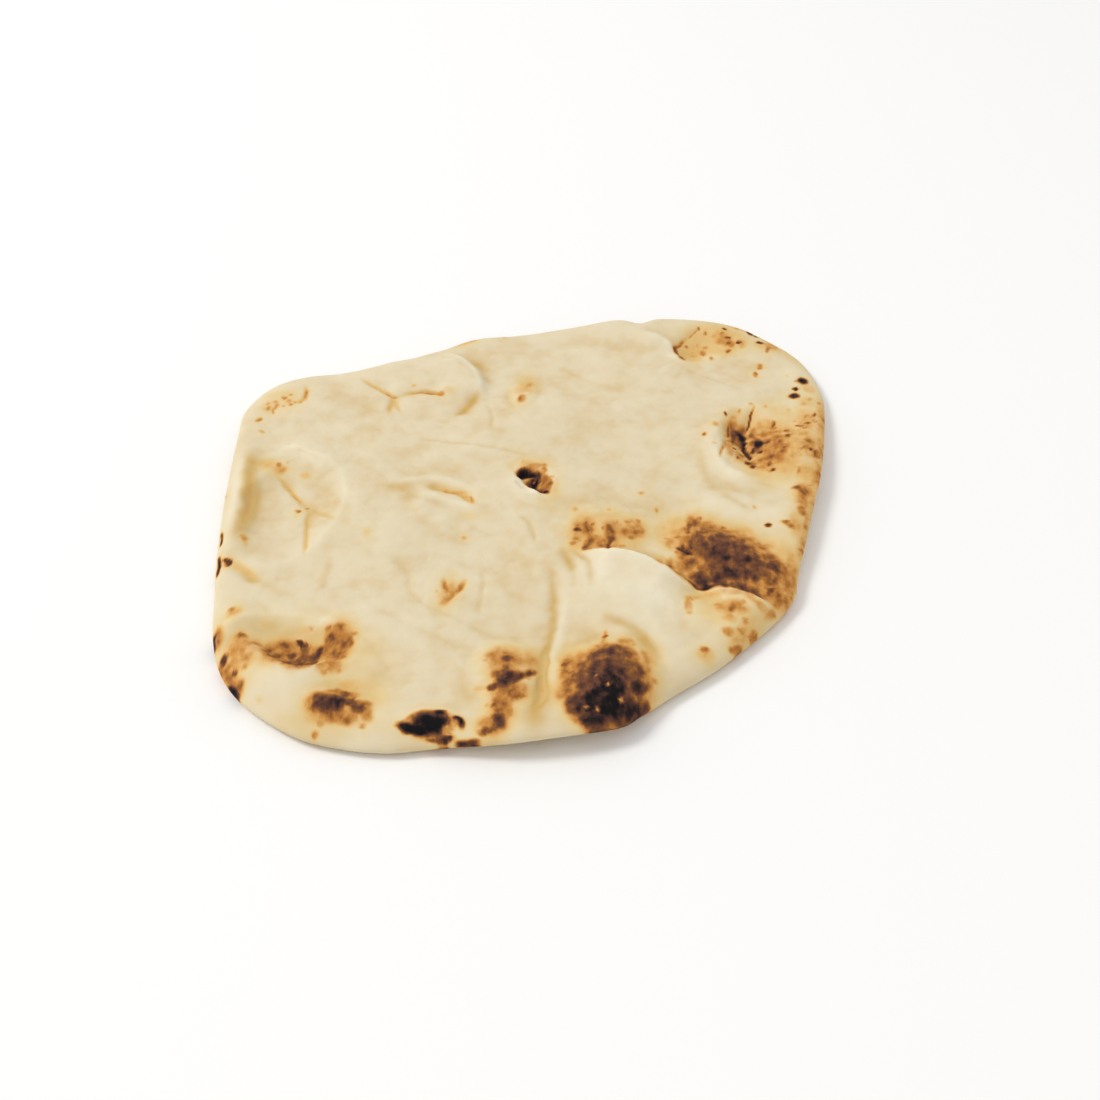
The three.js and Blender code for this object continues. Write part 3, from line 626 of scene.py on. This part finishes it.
# Rise and half width in mm, and the line
CREASES = [
    # crease along the back lip of the collapsed blister
    (-0.3, 0.9, [(-86, 19.5), (-78, 18.5), (-72, 15), (-68, 9.5)]),
    # pale lip of the torn crater
    (1.3, 1.1, [(-3, 9.5), (0, 7.5), (2.2, 4.6), (5, 1), (8.5, -1.5)]),
    # two lips of the slit
    (0.5, 2.0, [(-42, 2), (-32, 6.5), (-22, 4.5), (-13, -1.5)]),
    (0.5, 1.8, [(-35, 0), (-27, -4), (-18, -8), (-9, -10.5)]),
    # ridge and creases of the plain skin
    (0.3, 1.7, [(18, -40), (20.2, -57.7), (18.8, -72.3), (18.6, -85.4), (20.4, -95.8), (23, -104)]),
    (-0.2, 1.3, [(16, -26), (18.2, -31.2), (20.5, -37), (21.8, -43.3), (22.4, -51)]),
    (-0.4, 1.3, [(19.4, -27), (21.8, -30.7), (25.6, -36.5), (27.4, -43.6), (28.2, -51)]),
    (-0.3, 1.0, [(-7, -40), (-6, -50), (-5.5, -64)]),
    (-0.3, 0.9, [(0, -10), (6, -18), (9, -30)]),
    (-0.3, 1.0, [(-40, 30), (-25, 27), (-8, 24), (4, 20)]),
    (-0.3, 1.0, [(-17, 54), (-14, 45), (-13, 34)]),
]
# Level of the browning, half width in mm, and the line
TAN_STROKES = [
    # tan of the rim at the back right and at the right
    (0.18, 4.0, [(40, 117), (64, 116.5), (76, 113.5), (85, 109), (93, 101), (99, 90), (103, 76)]),
    (0.30, 3.4, [(104.5, 84), (104.8, 66), (104, 50), (102.5, 34), (100.5, 18), (97, 2), (93.5, -16)]),
    (0.30, 2.6, [(99.5, 14), (97.5, 2), (95, -12), (92.5, -26), (91, -38)]),
]
wrinkle_folds = [(rise, width, width, path) for rise, width, *_, path in WRINKLES + CREASES]
print(len(wrinkle_folds), "wrinkles and creases, the deepest", min(row[0] for row in wrinkle_folds), "mm")

# %% [markdown]
# ## The browning of the top
# The darkest mark wins at each point, as heat does. Lumps of two sizes break it up, because dough browns
# by its bubbles and not evenly. Full char is more even again.

# %% The browning of the top
SHARP_EDGE, SOFT_EDGE = 0.6, 3.6  # mm, half the width over which a speck and a large patch fade
HALO_LEVEL, HALO_WIDTH = 0.20, 4.5  # faint tan round a large patch, and its width in mm
HALO_SHARE = 0.4  # most of a patch's own level that its halo has
HALO_FROM = 4.0  # mm, half size from which a patch has its full halo
LIP_EDGE = 1.0  # mm over which a scorch ends at a lip
ROLL_DEPTH = 40  # mm, more than the scorch of the rolls reaches from their lips
BREAKUP = [(7.0, 0.07, 11), (2.6, 0.15, 12)]  # size of the lumps in mm, strength, layer of the noise
BREAKUP_FROM, BREAKUP_OVER = 0.1, 0.4  # browning where the lumps begin, and over which they grow
EVEN_FROM, EVEN_OVER, EVEN_SHARE = 0.7, 0.3, 0.6  # the same where char evens them out, and how far
STREAK = 1.5  # the lumps are so much longer from front to back
GOLDEN = 0.3  # browning from which skin is more than tan


def scorch(rows, x, y):
    """Browning by ovals: each has half its level on its outline, a large one a soft edge and a tan halo."""
    browning = np.zeros_like(x)
    for at_x, at_y, half_length, half_width, level, *turn in rows:
        narrow = min(half_length, half_width)
        inside = (1 - oval_reach(x, y, at_x, at_y, half_length, half_width, *turn)) * narrow
        soft = np.clip(narrow - SHARP_EDGE, SHARP_EDGE, SOFT_EDGE)
        patch = level * ease(0.5 + 0.5 * inside / soft)
        halo_level = min(HALO_LEVEL, HALO_SHARE * level) * min(1, narrow / HALO_FROM)
        browning = np.maximum(browning, np.maximum(patch, halo_level * ease(1 + inside / HALO_WIDTH)))
    return browning


rolls = scorch(ROLL_SCORCHES, scorch_x, scorch_y)
near, gap, side, _ = beside(ROLL_LIPS, x, y, ROLL_DEPTH)
rolls[near] *= np.where(side > 0, 1, 1 - ease(gap / LIP_EDGE))
browning = np.maximum(rolls, scorch(FRONT_SCORCHES + RIGHT_SCORCHES + BACK_SCORCHES, scorch_x, scorch_y))
for stroke_level, width, path in [row[2:] for row in WRINKLES] + TAN_STROKES:
    near, levels = stroke(path, crease_x, crease_y, stroke_level, width, width)
    browning[near] = np.maximum(browning[near], levels)
begun = ease((browning - BREAKUP_FROM) / BREAKUP_OVER)
evened = EVEN_SHARE * ease((browning - EVEN_FROM) / EVEN_OVER)
lumps = sum(strength * mottle(x, y / STREAK, size, layer, 1) for size, strength, layer in BREAKUP)
browning += begun * (1 - evened) * lumps
print("browned beyond tan: %.0f%% of the top" % (100 * np.mean(browning[~is_under] > GOLDEN)))

# %% [markdown]
# ## Freckles and flecks
# Tan skin is freckled, one freckle for each small bubble in it. They are strewn by a rule with a fixed
# seed over whatever is tan already, since no single one stands out. A few flecks inside the char stay
# golden, where a flake has come off. Those catch the eye, so each has its own place.

# %% Freckles and flecks
FRECKLE_SEED = 7
FRECKLES = 800  # strewn over the whole top; only those that fall on tan skin are kept
FRECKLE_TAN = (0.18, 0.50)  # browning of the skin that takes freckles
FRECKLE_SIZES = (0.8, 1.5)  # mm, smallest and largest half size
FRECKLE_DEPTHS = (0.06, 0.16)  # least and most browning that a freckle adds
FLECKS = [  # middle x and y, radius in mm
    (34.5, -94.3, 1.0), (38.5, -98.6, 1.1), (32.3, -102, 0.9), (29.2, -101.3, 0.8), (31.5, -90, 0.7),
    (-37, -104.7, 1.2), (-9.3, -110.3, 1.8), (-7, -109.4, 1.3), (4.7, 9.3, 0.8),
]
FLECK_LEVEL = 0.32  # golden
FLECK_EDGE = 1.5  # slope of its edge, which leaves the inner third of the radius bare

draw = np.random.default_rng(FRECKLE_SEED)
freckles = []
for k in draw.choice(np.flatnonzero(~is_under), FRECKLES, replace=False):
    if FRECKLE_TAN[0] < browning[k] < FRECKLE_TAN[1]:
        half_sizes = draw.uniform(*FRECKLE_SIZES, 2)
        turn = draw.uniform(0, 180)
        freckles.append((x[k], y[k], *half_sizes, browning[k] + draw.uniform(*FRECKLE_DEPTHS), turn))
browning = np.maximum(browning, scorch(freckles, x, y))
for fleck_x, fleck_y, radius in FLECKS:
    bare = ease(FLECK_EDGE * (1 - np.hypot(scorch_x - fleck_x, scorch_y - fleck_y) / radius))
    browning += bare * (np.minimum(browning, FLECK_LEVEL) - browning)
print(len(freckles), "freckles and", len(FLECKS), "flecks")

# %% [markdown]
# ## The browning of the underside
# The underside was pressed to the hot wall. It browned in spots wherever it touched, and stayed pale
# under the air pockets and near the rim. Nothing shows it here, so its spots are drawn by a rule with a
# fixed seed: large ones first, then specks.

# %% The browning of the underside
# Count, smallest and largest half size in mm, level
UNDER_SPOTS = [(26, 5.0, 9.0, 0.48), (70, 2.0, 4.5, 0.56), (150, 0.8, 1.8, 0.58)]
SPOT_SEED = 20
SPOT_SHARES = (0.6, 1.1)  # least and most of that level that a spot has
SPOT_SPREAD = 0.9  # share of the area, from the middle outwards, that has spots
SPOT_PLACES = 720  # places round the rim, one of which gives a spot's heading from the middle
UNDER_TAN = 0.10  # even browning of what was pressed to the wall
PALE_EDGE = 0.12  # share of the radius over which it pales towards the rim
POCKET_PALE = 0.65  # share of the browning that is missing under an air pocket
DEEPEST = 1.15  # level of the blackest char, beyond black so that no lump of it turns brown

draw = np.random.default_rng(SPOT_SEED)
clear_of_rim = ease((1 - share) / PALE_EDGE)
pressed = clear_of_rim * (1 - POCKET_PALE * ease(swell(AIR_POCKETS, x, y)))
under_spots = []
for count, smallest, largest, spot_level in UNDER_SPOTS:
    for _ in range(count):
        ring = ring_points(np.sqrt(draw.uniform(0, SPOT_SPREAD)), SPOT_PLACES)
        spot = ring[draw.integers(SPOT_PLACES)]
        half_sizes = draw.uniform(smallest, largest, 2)
        turn = draw.uniform(0, 180)
        under_spots.append((*spot, *half_sizes, draw.uniform(*SPOT_SHARES) * spot_level, turn))
under_browning = pressed * np.maximum(UNDER_TAN, scorch(under_spots, scorch_x, scorch_y))
over_rim = ease((share - 1 + UNDER_EDGE_SHARE) / UNDER_EDGE_SHARE)
browning = np.where(is_under, np.maximum(under_browning, over_rim * browning), browning).clip(0, DEEPEST)
print("browned beyond tan: %.0f%% of the underside" % (100 * np.mean(browning[is_under] > GOLDEN)))

# %% [markdown]
# ## The height of every point
# Now the levels come together. Plain dough has a faint orange-peel skin. Char is dry and flaky, so it
# gets coarser lumps where the browning is strong. All of this is real relief in the mesh: it holds in a
# side light and in the exported model, where a bump map alone would look flat at the edges.

# %% The height of every point
# Size and height in mm, layer of the noise
SKIN_LUMPS = [(18.0, 0.34, 21), (6.0, 0.15, 22), (2.6, 0.06, 25)]
CHAR_LUMPS = [(3.2, 0.42, 23), (1.6, 0.20, 24)]
CHAR_FROM, CHAR_OVER = 0.45, 0.4  # browning where the char's lumps begin, and over which they grow
WEB_SIZE, WEB_LENGTH, WEB_DEPTH = 14.0, 2.6, 0.32  # faint wrinkles: gap in mm, length in gaps, depth in mm
WEB_TURN = radians(-38)  # they run from the back left to the front right
WEB_LAYER, FIELD_LAYER = 26, 27  # of the noise
WEB_SHARPNESS = 3  # power that narrows them to lines
FIELD_SIZE = 3 * WEB_SIZE  # mm, of the fields that have them
CRACK_DEPTH = 0.8  # mm that a crack may go below the floor of a hollow

crown = THICKNESS + waves(x, y) + swell(SWELLINGS, x, y) + fold(FOLDS, x, y)
crown += fold(wrinkle_folds, crease_x, crease_y)
crown += sum(height * mottle(x, y, size, layer) for size, height, layer in SKIN_LUMPS)
along, across = x * cos(WEB_TURN) + y * sin(WEB_TURN), y * cos(WEB_TURN) - x * sin(WEB_TURN)
web = (1 - np.abs(mottle(along / WEB_LENGTH, across, WEB_SIZE, WEB_LAYER, 2))).clip(0) ** WEB_SHARPNESS
crown -= WEB_DEPTH * web * ease(0.5 + mottle(x, y, FIELD_SIZE, FIELD_LAYER, 1))
charred = ease((browning - CHAR_FROM) / CHAR_OVER)
crown += charred * sum(height * mottle(x, y / STREAK, size, layer, 2) for size, height, layer in CHAR_LUMPS)

lift = swell(LIFTS, x, y)
top_round = rim_round(1 - share, EDGE_SHARE)
under_round = rim_round(1 - share, UNDER_EDGE_SHARE)
top_level = lift + EDGE_LEVEL + (np.maximum(crown, THINNEST - CRACK_DEPTH) - EDGE_LEVEL) * top_round
under_level = lift + EDGE_LEVEL * (1 - under_round) + swell(AIR_POCKETS, x, y) * under_round
level = np.where(is_under, under_level, top_level)
print("highest point %.1f mm, lowest %.2f mm" % (level.max(), level.min()))

# %% [markdown]
# ## The skin as a mesh
# Neighbouring rings have different counts of points, so they are sewn together by triangles, always
# stepping along the ring that lags behind. The result is one closed skin with no seam, as the bread has
# none.

# %% The skin as a mesh
def sew(inner, outer):
    """Triangles between two rings, each given as its first point's number and its count."""
    (a0, a_count), (b0, b_count) = inner, outer
    a, b = int(a_count == 1), int(b_count == 1)
    while a < a_count or b < b_count:
        here, there = a0 + a % a_count, b0 + b % b_count
        if b < b_count and (a >= a_count or (b + 1) / b_count <= (a + 1) / a_count):
            b += 1
            yield here, there, b0 + b % b_count
        else:
            a += 1
            yield here, there, a0 + a % a_count


counts = [count for _, count, _ in rings]
starts = np.append(0, np.cumsum(counts))
spans = list(zip(starts.tolist(), counts))
triangles = [triangle for pair in zip(spans, spans[1:]) for triangle in sew(*pair)]
points = np.column_stack([x - middle[0], y - middle[1], level]) * MM

bread_mesh = bpy.data.meshes.new("baked_naan")
bread_mesh.from_pydata(points.tolist(), [], triangles)
bread_mesh.shade_smooth()
bread = bpy.data.objects.new("baked_naan", bread_mesh)
bpy.context.collection.objects.link(bread)
print(len(triangles), "triangles, box in mm:", [round(side / MM, 1) for side in bread.dimensions])

# %% [markdown]
# ## Valleys and ridges: painted shade and highlight
# The valleys get painted shade: a yellow tan that stands in for the soft shade that falls in them. The
# ridges get a lighter cream, partly flour that sticks where the skin is stretched and partly painted
# highlight. A valley is a point that lies below the average of its surroundings, so the heights are
# blurred along the mesh's edges and compared. A few long valleys and shaded walls get painted shade all
# along, and a few ridges get painted highlight, so those are drawn as strokes.

# %% Valleys and ridges
BLUR_ROUNDS = 60  # each round mixes a point with its neighbours, about 0.7 mm away
VALLEY_DEPTH = 0.80  # depth in mm at which a valley has its full painted shade
RIM_FADE = 0.2  # share of the radius over which the tints fade towards the rim, whose rounding is no ridge
# Yellow strokes are painted shade along valleys and shaded walls; white ones are painted highlight along
# ridges
PAINTED_LIGHT_STROKES = [  # strength, yellow above 0 and white below, half width in mm, and the line
    (-0.5, 1.8, [(-99.5, 22), (-97, 6), (-94.5, -6), (-92.5, -18), (-91.5, -32)]),
    (1.0, 2.8, [(-95, 22), (-93, 8), (-90.5, -4), (-88.5, -14)]),
    (1.1, 2.6, [(-91, -2), (-88.7, -13), (-88, -23), (-87, -36)]),
    (0.4, 2.0, [(-96, 10), (-88, 12), (-78, 14)]),
    (0.5, 1.3, [(13.4, -28), (15.3, -45.6), (16.7, -57), (17.1, -68), (16, -78), (15.8, -90)]),
    (1.6, 1.4, [(16.4, -70), (15.7, -84.5), (16.6, -94), (15.6, -106)]),
    (0.8, 3.4, [(17, -88), (15.8, -100), (14.5, -114)]),
    (-0.25, 1.6, [(17.6, -35), (20.2, -57.7), (18.8, -72.3), (18.6, -85.4), (20.4, -95.8), (23, -104)]),
    (0.15, 1.2, [(16, -26), (18.2, -31.2), (20.5, -37), (21.8, -43.3), (22.4, -51)]),
    (0.3, 1.2, [(19.4, -27), (21.8, -30.7), (25.6, -36.5), (27.4, -43.6), (28.2, -51)]),
    (0.6, 3.0, [(70, 62), (66, 45), (65, 31), (67, 21), (72, 13)]),
    (0.4, 1.5, [(-38, 88), (-30, 78), (-24, 70), (-20.5, 62), (-18.5, 52)]),
    (0.6, 1.3, [(-19.5, 62), (-22, 54), (-25, 47.5), (-28, 42)]),
    (0.5, 1.6, [(27, -57.5), (36, -63), (43, -68), (47, -75.5), (48.8, -88)]),
    (0.35, 1.8, [(61.5, 32), (61.5, 18), (64, 9), (68, 4)]),
    (0.7, 2.2, [(66, 4), (70, 0), (74, -4), (79, -10)]),
    (0.5, 1.8, [(-55.5, -37), (-55.5, -47), (-56, -57)]),
    (0.4, 2.0, [(-42, 0), (-32, -11), (-25, -18)]),
    (0.4, 2.2, [(-84, -45), (-74, -52), (-62, -58)]),
    (0.5, 2.4, [(-50, 2), (-42, 0.5), (-34, 2.5)]),
    (-0.7, 7.0, [(22, -42), (36, -44), (48, -52), (60, -62)]),
]


def blurred(values, rounds):
    """Values of the mesh's points, averaged with their neighbours' again and again."""
    ends = np.empty(2 * len(bread_mesh.edges), dtype=np.int32)
    bread_mesh.edges.foreach_get("vertices", ends)
    one, two = ends[::2], ends[1::2]
    neighbours = np.bincount(ends, minlength=len(values))
    for _ in range(rounds):
        total = np.bincount(one, values[two], len(values)) + np.bincount(two, values[one], len(values))
        values = 0.5 * values + 0.5 * total / neighbours
    return values


# Above 0 painted shade in the valleys; below 0 the ridges' lighter cream, partly flour and partly painted
# highlight
hollow = (blurred(level, BLUR_ROUNDS) - level) / VALLEY_DEPTH
painted_relief_shade = np.clip(hollow, -1, 1) * ease((1 - share) / RIM_FADE)
for strength, width, path in PAINTED_LIGHT_STROKES:
    near, tints = stroke(path, crease_x, crease_y, strength, width, width)
    painted_relief_shade[near] += tints * ~is_under[near]
for name, values in (("browning", browning), ("painted_relief_shade", painted_relief_shade)):
    bread_mesh.attributes.new(name, "FLOAT", "POINT").data.foreach_set("value", values.astype(np.float32))
print("browning and yellowing are stored on", len(values), "points")

# %% [markdown]
# ## Colours and nodes
# Colours are noted as they look on a screen, in sRGB, and one function turns them to the linear values
# that light is added up in. One other function adds a node, with its settings, its constant values and
# its links.

# %% Colours and nodes
def linear(code):
    """Linear colour of an sRGB hex value."""
    shares = [int(code[k:k + 2], 16) / 255 for k in (1, 3, 5)]
    return [s / 12.92 if s <= 0.04045 else ((s + 0.055) / 1.055) ** 2.4 for s in shares] + [1.0]


def add_node(tree, kind, values=None, links=None, **settings):
    """Adds a node; values go on its sockets, links come from other nodes' sockets."""
    node = tree.nodes.new(kind)
    for name, value in settings.items():
        setattr(node, name, value)
    for socket, value in (values or {}).items():
        node.inputs[socket].default_value = value
    for socket, source in (links or {}).items():
        tree.links.new(source, node.inputs[socket])
    return node


print("half grey in linear light: %.3f" % linear("#808080")[0])

# %% [markdown]
# ## The colour of the crust
# Plain wheat dough bakes to a matt cream skin that lets a little light in. Its sugars brown to gold and
# then to a reddish brown, and in the end it chars to a dry, nearly black crust. So one ramp of colours
# runs along the browning that the mesh carries. Fine noise breaks up what the mesh is too coarse for.

# %% The colour of the crust
PALE = "#dacaa8"  # plain skin
CRUST_STOPS = [  # browning and colour
    (0.00, PALE), (0.12, "#dbc38f"), (0.24, "#d9af6c"), (0.34, "#c8914c"), (0.44, "#b27534"),
    (0.56, "#84542b"), (0.68, "#68412d"), (0.80, "#4a2f27"), (0.90, "#2b1d1b"), (1.00, "#110f11"),
]
CRUMB_SIZE = 2.2  # mm, specks of browned bubbles; drawn coarse enough to show at this distance
CRUMB_SWING = 0.15  # browning that they add or take
CRUMB_FROM, CRUMB_FULL = 0.15, 0.55  # browning where they begin to show, and where they show fully
NOISE_LOW, NOISE_HIGH = 0.3, 0.7  # values that nearly all of a noise node's output lies between

dough = bpy.data.materials.new("Oven-baked wheat dough")
dough.use_nodes = True
tree = dough.node_tree
shader = tree.nodes["Principled BSDF"]
metres = add_node(tree, "ShaderNodeTexCoord").outputs["Object"]
in_mm = add_node(tree, "ShaderNodeVectorMath", {1: (1 / MM,) * 3}, {0: metres}, operation="MULTIPLY")
place = in_mm.outputs[0]
brown = add_node(tree, "ShaderNodeAttribute", attribute_name="browning").outputs["Fac"]
yellow = add_node(tree, "ShaderNodeAttribute", attribute_name="painted_relief_shade").outputs["Fac"]

drawn_out = add_node(
    tree, "ShaderNodeVectorMath", {1: (1, 1 / STREAK, 1)}, {0: place}, operation="MULTIPLY",
)
crumb = add_node(
    tree, "ShaderNodeTexNoise", {"Scale": 1 / CRUMB_SIZE, "Detail": 3.0}, {"Vector": drawn_out.outputs[0]},
)
crumb_swing = add_node(
    tree, "ShaderNodeMapRange",
    {"From Min": NOISE_LOW, "From Max": NOISE_HIGH, "To Min": -CRUMB_SWING, "To Max": CRUMB_SWING},
    {"Value": crumb.outputs["Fac"]},
)
crumbly = add_node(
    tree, "ShaderNodeMapRange", {"From Min": CRUMB_FROM, "From Max": CRUMB_FULL}, {"Value": brown},
)
broken = add_node(
    tree, "ShaderNodeMath", {}, {0: crumb_swing.outputs[0], 1: crumbly.outputs[0], 2: brown},
    operation="MULTIPLY_ADD",
)
crust = add_node(tree, "ShaderNodeValToRGB", {}, {"Fac": broken.outputs[0]})
stops = crust.color_ramp.elements
for position, _ in CRUST_STOPS[1:-1]:
    stops.new(position)
for stop, (position, code) in zip(stops, CRUST_STOPS):
    stop.position, stop.color = position, linear(code)
print("crust runs through", len(stops), "colours")

# %% [markdown]
# ## Clouds, valleys and ridges in the plain skin
# The plain skin isn't one cream either. Faint clouds come from the dough itself. From the mesh come the
# painted shade of the valleys and the lighter cream of the ridges, which is partly flour and partly
# painted highlight. One number carries all three: above 0 it mixes towards the valley's painted shade,
# below 0 towards the ridge's cream, and both give way where the crust is brown.

# %% Clouds, valleys and ridges in the plain skin
PAINTED_VALLEY_SHADE = "#c8a45e"  # painted shade of the skin in a valley
RIDGE_FLOUR_AND_HIGHLIGHT = "#e5dbc0"  # skin on a ridge: floury, and lighter as painted highlight
CLOUD_SIZE, CLOUD_SWING = 14.0, 0.25  # size of the clouds in mm, and the tint that they add or take
TINTED_UNTIL, UNTINTED_FROM = 0.05, 0.35  # browning at which the tints begin to give way, and are gone
MIX_SHARE, MIX_FROM, MIX_TO, MIX_RESULT = 0, 6, 7, 2  # a colour mix node's sockets

clouds = add_node(tree, "ShaderNodeTexNoise", {"Scale": 1 / CLOUD_SIZE, "Detail": 2.0}, {"Vector": place})
cloud_swing = add_node(
    tree, "ShaderNodeMapRange",
    {"From Min": NOISE_LOW, "From Max": NOISE_HIGH, "To Min": -CLOUD_SWING, "To Max": CLOUD_SWING},
    {"Value": clouds.outputs["Fac"]},
)
tint = add_node(tree, "ShaderNodeMath", {}, {0: yellow, 1: cloud_swing.outputs[0]}, operation="ADD")
plain = add_node(
    tree, "ShaderNodeMapRange",
    {"From Min": TINTED_UNTIL, "From Max": UNTINTED_FROM, "To Min": 1.0, "To Max": 0.0}, {"Value": brown},
)
skin = crust.outputs["Color"]
for sign, code in ((1.0, PAINTED_VALLEY_SHADE), (-1.0, RIDGE_FLOUR_AND_HIGHLIGHT)):
    one_way = add_node(
        tree, "ShaderNodeMath", {1: sign}, {0: tint.outputs[0]}, operation="MULTIPLY", use_clamp=True,
    )
    mix_share = add_node(
        tree, "ShaderNodeMath", {}, {0: one_way.outputs[0], 1: plain.outputs[0]}, operation="MULTIPLY",
    )
    mix = add_node(
        tree, "ShaderNodeMix", {MIX_TO: linear(code)}, {MIX_SHARE: mix_share.outputs[0], MIX_FROM: skin},
        data_type="RGBA",
    )
    skin = mix.outputs[MIX_RESULT]
tree.links.new(skin, shader.inputs["Base Color"])
print("colour of the crust takes", len(tree.nodes), "nodes")

# %% [markdown]
# ## Gloss, softness and pores
# Plain skin has a faint satin gloss and is soft enough for light to spread a few millimetres under it,
# most of all red and yellow light. Char has neither. Pores are half a millimetre wide, so they are a bump
# and not mesh.

# %% Gloss, softness and pores
PORE_SIZE, PORE_DEPTH = 0.9, 0.05  # mm; real pores are finer, drawn as coarse as the render can show
FLAKE_SIZE, FLAKE_DEPTH = 0.8, 0.28  # mm, dry flakes of the char
FLAKES_FROM, FLAKES_FULL = 0.3, 0.8  # browning where the flakes begin, and where they are deepest
SHINE, DRY = 0.62, 0.85  # roughness of plain skin and of char
SHINE_UNTIL, DRY_FROM = 0.1, 0.7  # browning at which the gloss begins to go, and is gone
SKIN_DEPTH = 2.5  # mm, how far red light spreads under the skin

shader.inputs["IOR"].default_value = 1.45
shader.inputs["Specular IOR Level"].default_value = 0.15
shader.inputs["Subsurface Weight"].default_value = 0.25
shader.inputs["Subsurface Radius"].default_value = (1.0, 0.72, 0.40)
shader.inputs["Subsurface Scale"].default_value = SKIN_DEPTH * MM
dryness = add_node(
    tree, "ShaderNodeMapRange",
    {"From Min": SHINE_UNTIL, "From Max": DRY_FROM, "To Min": SHINE, "To Max": DRY}, {"Value": brown},
)
tree.links.new(dryness.outputs[0], shader.inputs["Roughness"])

pores = add_node(tree, "ShaderNodeTexNoise", {"Scale": 1 / PORE_SIZE, "Detail": 2.0}, {"Vector": place})
flakes = add_node(tree, "ShaderNodeTexNoise", {"Scale": 1 / FLAKE_SIZE, "Detail": 4.0}, {"Vector": place})
flake_height = add_node(
    tree, "ShaderNodeMapRange",
    {"From Min": FLAKES_FROM, "From Max": FLAKES_FULL, "To Min": 0.0, "To Max": FLAKE_DEPTH},
    {"Value": brown},
)
flaked = add_node(
    tree, "ShaderNodeMath", {}, {0: flakes.outputs["Fac"], 1: flake_height.outputs[0]},
    operation="MULTIPLY",
)
roughened = add_node(
    tree, "ShaderNodeMath", {1: PORE_DEPTH}, {0: pores.outputs["Fac"], 2: flaked.outputs[0]},
    operation="MULTIPLY_ADD",
)
bump = add_node(tree, "ShaderNodeBump", {"Strength": 1.0, "Distance": MM}, {"Height": roughened.outputs[0]})
tree.links.new(bump.outputs["Normal"], shader.inputs["Normal"])
bread_mesh.materials.append(dough)
print(dough.name, "has", len(tree.nodes), "nodes")

# %% [markdown]
# ## In place of the solid
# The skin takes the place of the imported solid, which stays for collisions. It must keep that solid's
# form, so the distance between the two is measured before the swap.

# %% In place of the solid
SAMPLE_STEP = 7  # every seventh point is enough to measure by

solid = BVHTree.FromObject(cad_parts["naan"], bpy.context.evaluated_depsgraph_get())
offsets = [solid.find_nearest(Vector(point))[3] / MM for point in points[::SAMPLE_STEP]]
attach(bread, "root")
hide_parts("naan")
print("skin lies %.2f mm from the solid on average, %.2f mm at most" % (np.mean(offsets), max(offsets)))

# %% [markdown]
# ## Floor and light
# The bread lies on a plain white sheet under soft light, so that the crust alone gives the contrast. A
# wide lamp stands high at its left: walls that face the right fall into a mild shade and show their
# relief. An even white sky fills in the rest.

# %% Floor and light
FLOOR_SIDE = 4.0  # m
FLOOR_GAP = 0.0003  # m below the bread, so that the two never share a plane
SKY_STRENGTH = 0.78
LAMP_PLACE = Vector((-2.1, 0.1, 2.5))  # m
LAMP_SIZE, LAMP_POWER = 1.2, 46.0  # m, W

half = FLOOR_SIDE / 2
corners = [(a * half, b * half, -FLOOR_GAP) for a, b in ((-1, -1), (1, -1), (1, 1), (-1, 1))]
floor_mesh = bpy.data.meshes.new("floor")
floor_mesh.from_pydata(corners, [], [(0, 1, 2, 3)])
paper = bpy.data.materials.new("Matt white card")
paper.use_nodes = True
paper.node_tree.nodes["Principled BSDF"].inputs["Base Color"].default_value = linear("#f4f3f1")
paper.node_tree.nodes["Principled BSDF"].inputs["Roughness"].default_value = 0.9
floor_mesh.materials.append(paper)
floor = bpy.data.objects.new("floor", floor_mesh)
bpy.context.collection.objects.link(floor)

scene = bpy.context.scene
scene.world = bpy.data.worlds.new("white sky")
scene.world.use_nodes = True
scene.world.node_tree.nodes["Background"].inputs["Color"].default_value = (1, 1, 1, 1)
scene.world.node_tree.nodes["Background"].inputs["Strength"].default_value = SKY_STRENGTH
lamp = bpy.data.lights.new("window lamp", "AREA")
lamp.shape, lamp.size, lamp.energy = "DISK", LAMP_SIZE, LAMP_POWER
lamp_object = bpy.data.objects.new("window lamp", lamp)
lamp_object.location = LAMP_PLACE
lamp_object.rotation_euler = (-LAMP_PLACE).to_track_quat("-Z", "Y").to_euler()
bpy.context.collection.objects.link(lamp_object)
scene.view_settings.view_transform = "Standard"
print("lamp is %.2f m from the bread" % LAMP_PLACE.length)

# %% [markdown]
# ## The camera
# The picture was taken from less than half a metre away, looking down by 39 degrees, a little from the
# right and with a slight roll. The camera gets that place and that aim on the sheet, and a lens with the
# same angle of view.

# %% The camera
PICTURE_SIDE = 1100  # pixels, the picture is square
FOCAL_LENGTH = 1400  # pixels
CAMERA_PLACE = Vector((45.6, -374.65, 284.1))  # mm on the sheet
CAMERA_AIM = Vector((13.4, -30.25, 6.5))
CAMERA_ROLL = radians(-0.92)

camera = bpy.data.cameras.new("camera")
camera.sensor_width = 36.0
camera.lens = camera.sensor_width * FOCAL_LENGTH / PICTURE_SIDE
camera.clip_start = 0.01
camera_object = bpy.data.objects.new("camera", camera)
sheet_to_model = Vector((*middle, 0))
gaze = CAMERA_AIM - CAMERA_PLACE
turn = gaze.to_track_quat("-Z", "Y").to_matrix() @ Matrix.Rotation(CAMERA_ROLL, 3, "Z")
camera_object.matrix_world = Matrix.Translation((CAMERA_PLACE - sheet_to_model) * MM) @ turn.to_4x4()
bpy.context.collection.objects.link(camera_object)
scene.camera = camera_object
print("lens %.1f mm, %.0f mm from its aim" % (camera.lens, gaze.length))
